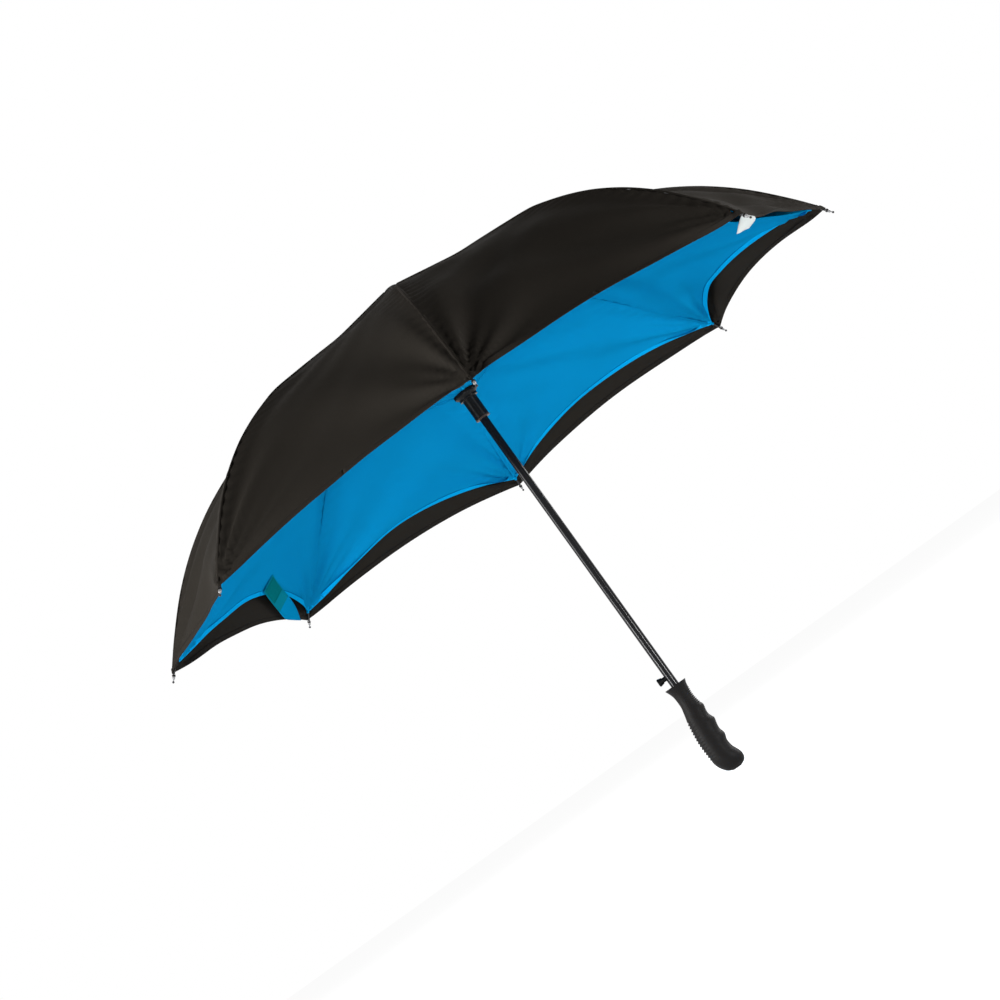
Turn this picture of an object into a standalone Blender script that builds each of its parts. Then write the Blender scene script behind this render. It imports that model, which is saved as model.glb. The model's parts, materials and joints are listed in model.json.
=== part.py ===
"""Inverted umbrella: a stick umbrella that folds inside out, with a black outer and a cyan inner canopy.

Metres, +Z up. The origin is the middle of the grip, on the shaft's axis, where the hand holds it.
The shaft is upright, the grip's finger grooves face +X, and the release button faces -X.
"""

import math

import bmesh
import bpy
from mathutils import Matrix, Vector

# Overall sizes
PANEL_COUNT = 8
CANOPY_RADIUS = 0.530
GRIP_LENGTH = 0.133
GRIP_TO_RIM = 0.3952
PIVOT_SPACING = 0.137
CROWN_PIVOT_RISE = 0.2445
ARM_LENGTH = 0.2695
PIVOT_RADIUS = 0.014

# Clearances
GAP = 0.0003
SEAM_GAP = 0.0006
CUT_OVERRUN = 0.002
SLOT_PLAY = 0.0003

# Canopies
FABRIC_THICKNESS = 0.0004
FABRIC_OVER_PIN = 0.0135
FABRIC_OVER_RIB = 0.0006
OUTER_HEM_RECESS = 0.025
INNER_HEM_RECESS = 0.060
OUTER_SAG_SHARE = 0.03
INNER_SAG_SHARE = 0.012
SAG_ONSET = 4
INNER_TIE_DROP = 0.024
CANOPY_HUB_RADIUS = 0.0085
# Lift of the outer seam over the strut, as shares of the strut's reach and of the lift over the pin
STRUT_LIFT_SHARES = ((0.12, 0.40), (0.29, 0.36), (0.46, 0.36), (0.64, 0.60), (0.83, 0.84), (1.0, 1.0))
# Fall of the outer seam from over the pin to the rim, as shares of radius and of height
OUTER_FALL_SHARES = (
    (0.10, 0.955), (0.26, 0.866), (0.41, 0.760), (0.57, 0.613),
    (0.725, 0.431), (0.88, 0.202), (1.0, 0.0),
)
# The inner seam under the rib's inner arm, as shares of its reach and of the tie drop
INNER_TIE_SHARES = ((0.33, 1.0), (0.66, 0.93), (0.90, 0.98))
# The inner seam beyond the pin, as shares of radius and of the pin's height over the rim
INNER_FALL_SHARES = ((0.04, 0.818), (0.18, 0.715), (0.49, 0.446), (0.725, 0.244))
INNER_CORNER_SHARE = 0.978

# Ribs and struts
RIB_WIDTH = 0.0024
RIB_HEIGHT = 0.0026
RIB_BOW = 0.008
RIB_FOLLOW_START = 0.030
RIB_EYE_RADIUS = 0.0021
RIB_BOSS_RADIUS = 0.0029
STRUT_WALL = 0.0009
STRUT_HEIGHT = 0.0036
STRUT_TONGUE_WIDTH = 0.0026
STRUT_TONGUE_LENGTH = 0.0085
STRUT_SHOULDER = 0.003
STRUT_EYE_RADIUS = 0.0022
STRUT_EAR_RADIUS = 0.0029
STRUT_FORK_LENGTH = 0.018
HINGE_PIN_RADIUS = 0.0009
TIE_WIRE_RADIUS = 0.0004
TIE_EYE_RADIUS = 0.0008

# Rib tips
TIP_LENGTH = 0.0125
TIP_SOCKET_DEPTH = 0.0055
TIP_SOCKET_WALL = 0.0008
TIP_NECK_RADIUS = 0.0011
TIP_BALL_RADIUS = 0.0023

# Shaft
SHAFT_RADIUS = 0.0058
SHAFT_WALL = 0.0008
SLOT_WIDTH = 0.0024
BORE_PLAY = 0.0003

# Crown
CROWN_RADIUS = 0.0165
CROWN_TOP_RISE = 0.0047
CROWN_DISC_DROP = 0.0040
CROWN_CHAMFER = 0.0022
CROWN_BOSS_RADIUS = 0.0090
CROWN_BOSS_LENGTH = 0.0085
CROWN_WEB = 0.0020
CROWN_SCREW_HOLE_RADIUS = 0.0029
CROWN_SCREW_HOLE_DEPTH = 0.0050
NOTCH_FLOOR_RADIUS = 0.0114
GROOVE_HALF_WIDTH = 0.0007
GROOVE_FLOOR_RADIUS = 0.0133
CROWN_PIN_RADIUS = 0.0008
CROWN_PIN_DROP = 0.0080

# Top cap
CAP_RADIUS = 0.0110
CAP_EDGE_HEIGHT = 0.0012
CAP_HEIGHT = 0.0038
CAP_FLAT_RADIUS = 0.0052

# Runner
RUNNER_HEAD_RADIUS = 0.0165
RUNNER_TOP_RISE = 0.0035
RUNNER_HEAD_DROP = 0.0035
RUNNER_NECK_RADIUS = 0.0095
RUNNER_FLANGE_RADIUS = 0.0175
RUNNER_FLANGE_DROP = 0.0265
RUNNER_FLANGE_RIM = 0.0045
RUNNER_STEP_RADIUS = 0.0135
RUNNER_FLANGE_HEIGHT = 0.0115
RUNNER_SLEEVE_RADIUS = 0.01035
RUNNER_SLEEVE_LENGTH = 0.0302
RUNNER_RING_HEIGHT = 0.0020
RUNNER_RING_LIP = 0.0003
CLAMP_RING_WIDTH = 0.0042
CLAMP_RING_HEIGHT = 0.0014
INNER_HUB_MARGIN = 0.0015

# Opening spring and plunger
PLUNGER_RADIUS = 0.0044
PLUNGER_HEIGHT = 0.016
PLUNGER_LIFT = 0.008
KEY_HEIGHT = 0.012
KEY_REACH = 0.0080
SPRING_RADIUS = 0.0036
SPRING_WIRE = 0.0009
STOP_RING_WIDTH = 0.0025
STOP_RING_HEIGHT = 0.0020

# Release button and catch
BUTTON_RISE = 0.0140
BUTTON_REACH = 0.0170
BUTTON_KNOB_RADIUS = 0.0060
BUTTON_ROOT_RADIUS = 0.0042
BUTTON_KNOB_LENGTH = 0.0072
BUTTON_EDGE = 0.0014
BUTTON_STEM_RADIUS = 0.0034
BUTTON_STEM_INSET = 0.0008
CATCH_WIDTH = 0.0040
CATCH_THICKNESS = 0.0005
CATCH_LENGTH = 0.030
CATCH_BOW = 0.0012

# Grip
GRIP_HALF_WIDTH = 0.020
GRIP_HALF_DEPTH = 0.0160
GRIP_TOOTH_COUNT = 13
GRIP_TOOTH_DEPTH = 0.0011
GRIP_END_WALL = 0.0110
CORE_WALL = 0.0019
SHAFT_END_GAP = 0.0040
PLUG_LENGTH = 0.012
PLUG_HEAD_HEIGHT = 0.0015
# Outlines of the grip from its top down, as shares of its length and of its half width or half depth
GRIP_BACK_SHARES = (
    (0.0, 0.795), (0.038, 0.680), (0.095, 0.565), (0.158, 0.540), (0.21, 0.545), (0.263, 0.615),
    (0.316, 0.700), (0.376, 0.800), (0.504, 0.925), (0.594, 0.990), (0.677, 1.0), (0.80, 0.965),
    (0.85, 0.935), (0.90, 0.820), (0.947, 0.620), (0.977, 0.420), (1.0, 0.100),
)
GRIP_FINGER_SHARES = (
    (0.0, 0.790), (0.043, 0.680), (0.09, 0.635), (0.15, 0.595), (0.206, 0.615), (0.26, 0.675),
    (0.308, 0.780), (0.365, 0.705), (0.406, 0.690), (0.447, 0.775), (0.474, 0.855), (0.541, 0.755),
    (0.591, 0.725), (0.652, 0.820), (0.71, 0.705), (0.744, 0.690), (0.797, 0.745), (0.85, 0.900),
    (0.90, 1.0), (0.947, 0.960), (0.977, 0.810), (1.0, 0.500),
)
GRIP_SIDE_SHARES = (
    (0.0, 0.960), (0.045, 0.800), (0.10, 0.690), (0.18, 0.670), (0.30, 0.770), (0.45, 0.900),
    (0.65, 0.985), (0.80, 1.0), (0.90, 0.930), (0.96, 0.700), (1.0, 0.330),
)
GRIP_TEETH_START_SHARE = 0.376
GRIP_TEETH_END_SHARE = 0.805

# Strap and label
STRAP_WIDTH = 0.027
STRAP_THICKNESS = 0.0012
PATCH_LENGTH = 0.032
PATCH_MARGIN = 0.002
PATCH_THICKNESS = 0.0010
STRAP_PANEL = 4
# The strap's two ends, as shares along the inner panel's length and of its half width
STRAP_OUTER_END_SHARES = (1.008, -0.79)
STRAP_INNER_END_SHARES = (0.860, -0.05)
LABEL_PANEL = 8
LABEL_WIDTH = 0.0185
LABEL_THICKNESS = 0.0006
LABEL_GATHER_SHARE = 0.30
LABEL_HEM_SHARES = (-0.97, -0.95)
# The label's rows from its sewn end: the middle, and the way across, each as (outwards, sideways, up)
LABEL_MIDDLES = ((0.0, 0.0, 0.0), (0.0004, 0.0015, -0.0071), (-0.0122, -0.0039, -0.0155))
LABEL_WAYS = ((0.601, 0.660, -0.449), (0.340, 0.934, -0.074))

# Facets
ROUND_STEPS = 24
SMALL_STEPS = 12
EYE_POINTS = 8
TIP_STEPS = 8
OUTER_ROWS = 12
INNER_ROWS = 9
PANEL_COLUMNS = 4
GRIP_SIDES = 16
RIB_INNER_STEPS = 5

# Heights and places worked out from the sizes above
PANEL_ANGLE = 2 * math.pi / PANEL_COUNT
GRIP_TOP = GRIP_LENGTH / 2
GRIP_BOTTOM = -GRIP_LENGTH / 2
RIM_Z = GRIP_TOP + GRIP_TO_RIM
CROWN_PIVOT_Z = RIM_Z + CROWN_PIVOT_RISE
RUNNER_PIVOT_Z = CROWN_PIVOT_Z - PIVOT_SPACING
PIN_RADIUS_OUT = PIVOT_RADIUS + math.sqrt(ARM_LENGTH**2 - (PIVOT_SPACING / 2) ** 2)
PIN_Z = CROWN_PIVOT_Z - PIVOT_SPACING / 2
CROWN_TOP_Z = CROWN_PIVOT_Z + CROWN_TOP_RISE
FABRIC_CLAMP_Z = CROWN_TOP_Z + GAP + FABRIC_THICKNESS / 2
RUNNER_TOP_Z = RUNNER_PIVOT_Z + RUNNER_TOP_RISE
FLANGE_TOP_Z = RUNNER_PIVOT_Z - RUNNER_FLANGE_DROP
INNER_CLAMP_Z = FLANGE_TOP_Z + GAP + FABRIC_THICKNESS / 2
SLEEVE_BOTTOM_Z = FLANGE_TOP_Z - RUNNER_FLANGE_HEIGHT - RUNNER_SLEEVE_LENGTH
PLUNGER_Z = SLEEVE_BOTTOM_Z + PLUNGER_LIFT
CROWN_PIN_Z = CROWN_PIVOT_Z - CROWN_PIN_DROP
SHAFT_TOP_Z = CROWN_TOP_Z - CROWN_SCREW_HOLE_DEPTH - CROWN_WEB - GAP
SHAFT_BOTTOM_Z = GRIP_BOTTOM + GRIP_END_WALL + SHAFT_END_GAP
BUTTON_Z = GRIP_TOP + BUTTON_RISE
BORE_RADIUS = SHAFT_RADIUS + BORE_PLAY
TUBE_BORE = SHAFT_RADIUS - SHAFT_WALL
INNER_HUB_RADIUS = RUNNER_NECK_RADIUS + INNER_HUB_MARGIN
OPEN_SLOPE = math.asin(PIVOT_SPACING / 2 / ARM_LENGTH)
FOLD_ANGLE = math.radians(72)
RUNNER_TRAVEL = 2 * ARM_LENGTH * math.sin(OPEN_SLOPE + FOLD_ANGLE) - PIVOT_SPACING

BLACK_METAL = ((0.012, 0.012, 0.013, 1), 0.25, 0.9)
STEEL = ((0.45, 0.46, 0.47, 1), 0.35, 1.0)
GLOSS_BLACK = ((0.012, 0.012, 0.012, 1), 0.22, 0.0)
MATT_RUBBER = ((0.014, 0.013, 0.013, 1), 0.62, 0.0)
BLACK_FABRIC = ((0.012, 0.011, 0.011, 1), 0.70, 0.0)
CYAN_FABRIC = ((0.002, 0.242, 0.541, 1), 0.65, 0.0)
TEAL_PATCH = ((0.004, 0.150, 0.180, 1), 0.90, 0.0)
WHITE_LABEL = ((0.72, 0.75, 0.74, 1), 0.55, 0.0)
BROWN_RING = ((0.10, 0.065, 0.050, 1), 0.40, 0.0)


def clear_scene():
    for obj in list(bpy.data.objects):
        bpy.data.objects.remove(obj)


def make_collection(name):
    made = bpy.data.collections.new(name)
    bpy.context.scene.collection.children.link(made)
    return made


def finish_of(name, look):
    color, roughness, metallic = look
    material = bpy.data.materials.new(name)
    material.use_nodes = True
    shader = material.node_tree.nodes["Principled BSDF"]
    shader.inputs["Base Color"].default_value = color
    shader.inputs["Roughness"].default_value = roughness
    shader.inputs["Metallic"].default_value = metallic
    return material


def place(name, data, look, matrix=None):
    """Link one named part with its own material, and smooth its round faces."""
    obj = bpy.data.objects.new(name, data)
    PARTS.objects.link(obj)
    obj.data.materials.clear()
    obj.data.materials.append(finish_of(name, look))
    if matrix is not None:
        obj.matrix_world = matrix
    return obj


def cutter(name, data, matrix=None):
    obj = bpy.data.objects.new(name, data)
    CUTTERS.objects.link(obj)
    obj.hide_render = True
    obj.display_type = "WIRE"
    if matrix is not None:
        obj.matrix_world = matrix
    return obj


def cut(obj, tool, operation="DIFFERENCE"):
    modifier = obj.modifiers.new(tool.name, "BOOLEAN")
    modifier.operation = operation
    modifier.object = tool
    return modifier


def profile_mesh(name, points, closed):
    mesh = bpy.data.meshes.new(name)
    edges = [(i, i + 1) for i in range(len(points) - 1)]
    if closed:
        edges.append((len(points) - 1, 0))
    mesh.from_pydata([(r, 0, z) for r, z in points], edges, [])
    return mesh


def turned(name, points, look, closed=False, steps=ROUND_STEPS, matrix=None):
    """A turned piece: its profile runs down the outer side, from top to bottom."""
    obj = place(name, profile_mesh(name, points, closed), look, matrix)
    screw = obj.modifiers.new("Turn", "SCREW")
    screw.steps = steps
    screw.render_steps = steps
    screw.use_merge_vertices = True
    screw.merge_threshold = 0.00001
    screw.use_smooth_shade = True
    return obj


def ring_profile(inner, outer, bottom, top):
    return [(outer, top), (outer, bottom), (inner, bottom), (inner, top)]


def box_mesh(name, low, high):
    """A box between two corners."""
    low, high = Vector(low), Vector(high)
    size = high - low
    mesh = bpy.data.meshes.new(name)
    bm = bmesh.new()
    matrix = Matrix.Translation((low + high) / 2) @ Matrix.Diagonal((*size, 1))
    bmesh.ops.create_cube(bm, size=1, matrix=matrix)
    bm.to_mesh(mesh)
    bm.free()
    return mesh


def rod_mesh(name, radius, length, steps=SMALL_STEPS):
    """A cylinder along Z, centred on the origin."""
    mesh = bpy.data.meshes.new(name)
    bm = bmesh.new()
    bmesh.ops.create_cone(
        bm, cap_ends=True, segments=steps, radius1=radius, radius2=radius, depth=length
    )
    bm.to_mesh(mesh)
    bm.free()
    return mesh


def along(axis, centre):
    """A matrix that turns local Z to an axis and moves the origin to a centre."""
    turn = Vector((0, 0, 1)).rotation_difference(Vector(axis)).to_matrix().to_4x4()
    return Matrix.Translation(Vector(centre)) @ turn


def panel_turn(index):
    """The turn about the shaft that takes rib 1, at +X, to another rib."""
    return Matrix.Rotation((index - 1) * PANEL_ANGLE, 4, "Z")


def slopes(points, marks):
    """Tangents of a smooth curve through points, for the parameter values in marks."""
    last = len(points) - 1
    found = []
    for i in range(len(points)):
        before, after = max(i - 1, 0), min(i + 1, last)
        found.append((points[after] - points[before]) / (marks[after] - marks[before]))
    return found


def hermite(a, b, slope_a, slope_b, span, x):
    """A cubic from a to b over a span, at the share x of it."""
    rest = 1 - x
    return (
        a * (rest * rest * (1 + 2 * x))
        + slope_a * (span * x * rest * rest)
        + b * (x * x * (3 - 2 * x))
        - slope_b * (span * x * x * rest)
    )


def smooth_at(points, marks, tangents, mark):
    mark = min(max(mark, marks[0]), marks[-1])
    k = 0
    while k < len(marks) - 2 and mark > marks[k + 1]:
        k += 1
    span = marks[k + 1] - marks[k]
    return hermite(
        points[k], points[k + 1], tangents[k], tangents[k + 1], span, (mark - marks[k]) / span
    )


def smooth_path(corners, count):
    """Points at even steps along a smooth curve through the corners, given as (r, z)."""
    points = [Vector(c) for c in corners]
    marks = [0.0]
    for before, after in zip(points, points[1:]):
        marks.append(marks[-1] + (after - before).length)
    tangents = slopes(points, marks)
    return [smooth_at(points, marks, tangents, marks[-1] * i / count) for i in range(count + 1)]


def table_at(shares, where):
    """A smooth reading of a table of shares."""
    marks = [s[0] for s in shares]
    values = [s[1] for s in shares]
    return smooth_at(values, marks, slopes(values, marks), where)


def polyline_at(points, share):
    place_on = share * (len(points) - 1)
    k = min(max(int(math.floor(place_on)), 0), len(points) - 2)
    return points[k].lerp(points[k + 1], place_on - k)


def normals_of(points):
    """Upward normals of a line in the (r, z) plane, at each of its points."""
    found = []
    for i in range(len(points)):
        ahead = points[min(i + 1, len(points) - 1)] - points[max(i - 1, 0)]
        found.append(Vector((-ahead.y, ahead.x)).normalized())
    return found


def clamped_seam(hub, clamp, corners, rows):
    """A seam that lies flat from the hub to past its clamp, and then follows the corners."""
    z = hub[1]
    flat = (clamp + GAP) / math.cos(PANEL_ANGLE / 2)
    return [Vector(hub)] + smooth_path([(flat, z)] + corners, rows - 1)


def outer_seam():
    """The outer canopy's seam over a rib: clamped at the crown, over the strut, down the rib."""
    corners = []
    for reach, lift in STRUT_LIFT_SHARES:
        r = PIVOT_RADIUS + reach * (PIN_RADIUS_OUT - PIVOT_RADIUS)
        z = CROWN_PIVOT_Z + reach * (PIN_Z - CROWN_PIVOT_Z) + lift * FABRIC_OVER_PIN
        corners.append((r, z))
    top = PIN_Z + FABRIC_OVER_PIN
    for reach, height in OUTER_FALL_SHARES:
        r = PIN_RADIUS_OUT + reach * (CANOPY_RADIUS - PIN_RADIUS_OUT)
        corners.append((r, RIM_Z + height * (top - RIM_Z)))
    hub = (CANOPY_HUB_RADIUS, FABRIC_CLAMP_Z)
    return clamped_seam(hub, CROWN_RADIUS - CROWN_CHAMFER, corners, OUTER_ROWS)


def rib_drop():
    """How far the rib's middle lies under the outer canopy's middle surface."""
    return FABRIC_THICKNESS / 2 + FABRIC_OVER_RIB + RIB_HEIGHT / 2


def rib_path():
    """The rib's middle line: bowed from the runner to the pin, then parallel to the canopy."""
    start = Vector((PIVOT_RADIUS, RUNNER_PIVOT_Z))
    pin = Vector((PIN_RADIUS_OUT, PIN_Z))
    chord = pin - start
    up = Vector((-chord.y, chord.x)).normalized()
    path = []
    for i in range(RIB_INNER_STEPS + 1):
        x = i / RIB_INNER_STEPS
        path.append(start + chord * x + up * (4 * RIB_BOW * x * (1 - x)))
    seam = outer_seam()
    for point, normal in zip(seam, normals_of(seam)):
        under = point - normal * rib_drop()
        if under.x > pin.x + RIB_FOLLOW_START:
            path.append(under)
    end = path[-1] - path[-2]
    path.append(path[-1] + end.normalized() * TIP_SOCKET_DEPTH)
    return path


def inner_seam():
    """The inner canopy's seam: clamped on the runner, tied under the rib, up to the rib's end."""
    corners = []
    for reach, drop in INNER_TIE_SHARES:
        r = PIVOT_RADIUS + reach * (PIN_RADIUS_OUT - PIVOT_RADIUS)
        z = RUNNER_PIVOT_Z + reach * (PIN_Z - RUNNER_PIVOT_Z) - drop * INNER_TIE_DROP
        corners.append((r, z))
    for reach, height in INNER_FALL_SHARES:
        r = PIN_RADIUS_OUT + reach * (CANOPY_RADIUS - PIN_RADIUS_OUT)
        corners.append((r, RIM_Z + height * (PIN_Z - RIM_Z)))
    rib = outer_seam()
    marks = normals_of(rib)
    corner = polyline_at(rib, INNER_CORNER_SHARE) - marks[-1] * (2 * rib_drop() + GAP)
    corners.append((corner.x, corner.y))
    clamp = RUNNER_NECK_RADIUS + GAP + CLAMP_RING_WIDTH
    return clamped_seam((INNER_HUB_RADIUS, INNER_CLAMP_Z), clamp, corners, INNER_ROWS)


def panel_point(seam, sag_share, along_share, across):
    """A point of a panel between rib 1 and rib 2: across runs from -1 to 1, away from the seams."""
    r, z = polyline_at(seam, along_share)
    half = PANEL_ANGLE / 2
    middle = Vector((math.cos(half), math.sin(half), 0))
    side = Vector((-math.sin(half), math.cos(half), 0))
    chord = r * math.sin(half)
    reach = max(chord - SEAM_GAP / 2 / math.cos(half), 0)
    low = polyline_at(seam, max(along_share - 1 / OUTER_ROWS, 0))
    high = polyline_at(seam, min(along_share + 1 / OUTER_ROWS, 1))
    ahead = (high - low).normalized()
    inward = middle * ahead.y - Vector((0, 0, 1)) * ahead.x
    sag = sag_share * 2 * chord * (1 - across * across) * min(along_share * SAG_ONSET, 1)
    return middle * (r * math.cos(half)) + side * (reach * across) + Vector((0, 0, z)) + inward * sag


def hem_share(seam, recess, across):
    """How far along its length a panel reaches: its hem is drawn in between the ribs."""
    length = (seam[-1] - seam[-2]).length * (len(seam) - 1)
    return 1 - recess / length * (1 - across * across)


def gore_mesh(name, seam, rows, sag_share, recess):
    """One sewn panel as an open sheet."""
    mesh = bpy.data.meshes.new(name)
    bm = bmesh.new()
    grid = []
    for row in range(rows + 1):
        line = []
        for column in range(PANEL_COLUMNS + 1):
            across = 2 * column / PANEL_COLUMNS - 1
            reach = hem_share(seam, recess, across)
            line.append(bm.verts.new(panel_point(seam, sag_share, reach * row / rows, across)))
        grid.append(line)
    for row in range(rows):
        for column in range(PANEL_COLUMNS):
            bm.faces.new((
                grid[row][column], grid[row + 1][column],
                grid[row + 1][column + 1], grid[row][column + 1],
            ))
    bm.to_mesh(mesh)
    bm.free()
    mesh.shade_smooth()
    return mesh


def thicken(obj, thickness):
    modifier = obj.modifiers.new("Cloth", "SOLIDIFY")
    modifier.thickness = thickness
    modifier.offset = 0
    return modifier


def canopy(prefix, seam, rows, sag_share, recess, look):
    for index in range(1, PANEL_COUNT + 1):
        name = f"{prefix}_gore_{index}"
        mesh = gore_mesh(name, seam, rows, sag_share, recess)
        obj = place(name, mesh, look, panel_turn(index))
        thicken(obj, FABRIC_THICKNESS)


def eye_marks(centre, radius):
    """Places along a bar where the arc of an eye round a centre is drawn."""
    return [centre - radius * math.cos(math.pi * i / EYE_POINTS * 2) for i in range(EYE_POINTS // 2 + 1)]


def bar_outline(path, height, eyes):
    """The outline of a flat bar along a path of (r, z) points, widened to round eyes.

    Eyes are (distance along the path, radius). An eye at the start rounds the bar's end, and one
    at the path's full length rounds the other end.
    """
    marks = [0.0]
    for before, after in zip(path, path[1:]):
        marks.append(marks[-1] + (after - before).length)
    directions = normals_of(path)
    stations = set()
    for mark in marks:
        if all(abs(mark - centre) > radius for centre, radius in eyes):
            stations.add(mark)
    for centre, radius in eyes:
        side = math.sqrt(radius**2 - (height / 2) ** 2)
        stations.update((centre - side, centre + side))
        arc = eye_marks(centre, radius)
        stations.update(mark for mark in arc if abs(mark - centre) < side)
        if centre < GAP:
            stations.update(mark for mark in arc if mark < centre)
        if centre > marks[-1] - GAP:
            stations.update(mark for mark in arc if mark > centre)
    round_start = any(centre < GAP for centre, _ in eyes)
    round_end = any(centre > marks[-1] - GAP for centre, _ in eyes)
    upper, lower = [], []
    for mark in sorted(stations):
        k = 0
        while k < len(marks) - 2 and mark > marks[k + 1]:
            k += 1
        x = (mark - marks[k]) / (marks[k + 1] - marks[k])
        point = path[k] + (path[k + 1] - path[k]) * x
        normal = directions[k].lerp(directions[k + 1], min(max(x, 0), 1)).normalized()
        half = height / 2
        if round_start and mark < 0 or round_end and mark > marks[-1]:
            half = 0
        for centre, radius in eyes:
            half = max(half, math.sqrt(max(radius**2 - (mark - centre) ** 2, 0)))
        upper.append(point + normal * half)
        if half > GAP / 2:
            lower.append(point - normal * half)
    return upper + lower[::-1]


def circle_points(centre, radius, count=EYE_POINTS):
    turns = (2 * math.pi * i / count for i in range(count))
    return [Vector((centre.x + radius * math.cos(a), centre.y + radius * math.sin(a))) for a in turns]


def flat_curve(name, loops, thickness):
    """A flat outline with its holes, extruded to both sides of its plane."""
    curve = bpy.data.curves.new(name, "CURVE")
    curve.dimensions = "2D"
    curve.fill_mode = "BOTH"
    curve.extrude = thickness / 2
    for loop in loops:
        spline = curve.splines.new("POLY")
        spline.points.add(len(loop) - 1)
        for point, target in zip(spline.points, loop):
            point.co = (target[0], target[1], 0, 1)
        spline.use_cyclic_u = True
    return curve


def upright():
    """Turns a flat outline's own y up, so that its plane is the rib's plane."""
    return Matrix.Rotation(math.pi / 2, 4, "X")


def solid_of(curve, matrix):
    """The welded mesh of a flat outline, so that it can be cut or joined."""
    temporary = bpy.data.objects.new(curve.name, curve)
    PARTS.objects.link(temporary)
    temporary.matrix_world = matrix
    bpy.context.view_layer.update()
    evaluated = temporary.evaluated_get(bpy.context.evaluated_depsgraph_get())
    mesh = bpy.data.meshes.new_from_object(evaluated)
    mesh.transform(matrix)
    bm = bmesh.new()
    bm.from_mesh(mesh)
    bmesh.ops.remove_doubles(bm, verts=bm.verts, dist=0.000005)
    flat = [face for face in bm.faces if len(face.verts) == 3]
    bmesh.ops.beautify_fill(bm, faces=flat, edges=bm.edges)
    bm.to_mesh(mesh)
    bm.free()
    bpy.data.objects.remove(temporary)
    return mesh


def cut_mesh(name, mesh, tools):
    """A mesh with its cuts and joins made, for pieces that share it."""
    temporary = bpy.data.objects.new(name, mesh)
    PARTS.objects.link(temporary)
    for tool, operation in tools:
        cut(temporary, tool, operation)
    bpy.context.view_layer.update()
    evaluated = temporary.evaluated_get(bpy.context.evaluated_depsgraph_get())
    made = bpy.data.meshes.new_from_object(evaluated)
    bpy.data.objects.remove(temporary)
    return made


def moved_origin(mesh, pivot):
    """The mesh with its origin on its pivot, for a piece that turns there."""
    mesh.transform(Matrix.Translation(-pivot))
    return mesh


def ribs():
    path = rib_path()
    inner = path[: RIB_INNER_STEPS + 1]
    pin_mark = sum((b - a).length for a, b in zip(inner, inner[1:]))
    outline = bar_outline(path, RIB_HEIGHT, [(0.0, RIB_EYE_RADIUS), (pin_mark, RIB_BOSS_RADIUS)])
    holes = [
        circle_points(path[0], TIE_EYE_RADIUS),
        circle_points(path[RIB_INNER_STEPS], HINGE_PIN_RADIUS + GAP),
    ]
    pin = Vector((PIN_RADIUS_OUT, 0, PIN_Z))
    for index in range(1, PANEL_COUNT + 1):
        curve = flat_curve(f"rib_{index}", [outline] + holes, RIB_WIDTH)
        mesh = moved_origin(solid_of(curve, upright()), pin)
        place(f"rib_{index}", mesh, STEEL, panel_turn(index) @ Matrix.Translation(pin))


def struts():
    start = Vector((PIVOT_RADIUS, CROWN_PIVOT_Z))
    end = Vector((PIN_RADIUS_OUT, PIN_Z))
    run = end - start
    length = run.length
    slope = math.atan2(run.y, run.x)
    channel = RIB_WIDTH + 2 * SLOT_PLAY
    width = channel + 2 * STRUT_WALL
    crown_end = Vector((start.x, 0, start.y))
    frame = Matrix.Translation(crown_end) @ Matrix.Rotation(-slope, 4, "Y")
    bar = [Vector((0, 0)), Vector((length, 0))]
    eyes = [(0.0, STRUT_EYE_RADIUS), (length, STRUT_EAR_RADIUS)]
    outline = bar_outline(bar, STRUT_HEIGHT, eyes)
    hole = circle_points(Vector((0, 0)), TIE_EYE_RADIUS)
    mesh = solid_of(flat_curve("strut", [outline, hole], width), upright())
    top = STRUT_HEIGHT / 2
    fork = length - STRUT_FORK_LENGTH
    far = length + STRUT_EAR_RADIUS + CUT_OVERRUN
    tall = STRUT_EAR_RADIUS + CUT_OVERRUN
    near = STRUT_TONGUE_LENGTH + STRUT_SHOULDER
    hollow = [
        Vector((near, -tall)), Vector((far, -tall)), Vector((far, tall)),
        Vector((fork, tall)), Vector((fork, top - STRUT_WALL)), Vector((near, top - STRUT_WALL)),
    ]
    channel_mesh = solid_of(flat_curve("strut_channel", [hollow], channel), upright())
    tools = [(cutter("strut_channel", channel_mesh), "DIFFERENCE")]
    back = -STRUT_EYE_RADIUS - CUT_OVERRUN
    for side in (-1, 1):
        inner = side * STRUT_TONGUE_WIDTH / 2
        outer = side * (width / 2 + CUT_OVERRUN)
        low = (back, min(inner, outer), -tall)
        high = (STRUT_TONGUE_LENGTH, max(inner, outer), tall)
        tools.append((cutter(f"strut_tongue_{side}", box_mesh("tongue", low, high)), "DIFFERENCE"))
    pin_length = width - STRUT_WALL
    pin_place = along((0, 1, 0), (length, 0, 0))
    tools.append((cutter("strut_pin", rod_mesh("pin", HINGE_PIN_RADIUS, pin_length, EYE_POINTS), pin_place), "UNION"))
    made = cut_mesh("strut", mesh, tools)
    for index in range(1, PANEL_COUNT + 1):
        place(f"strut_{index}", made.copy(), STEEL, panel_turn(index) @ frame)


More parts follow.
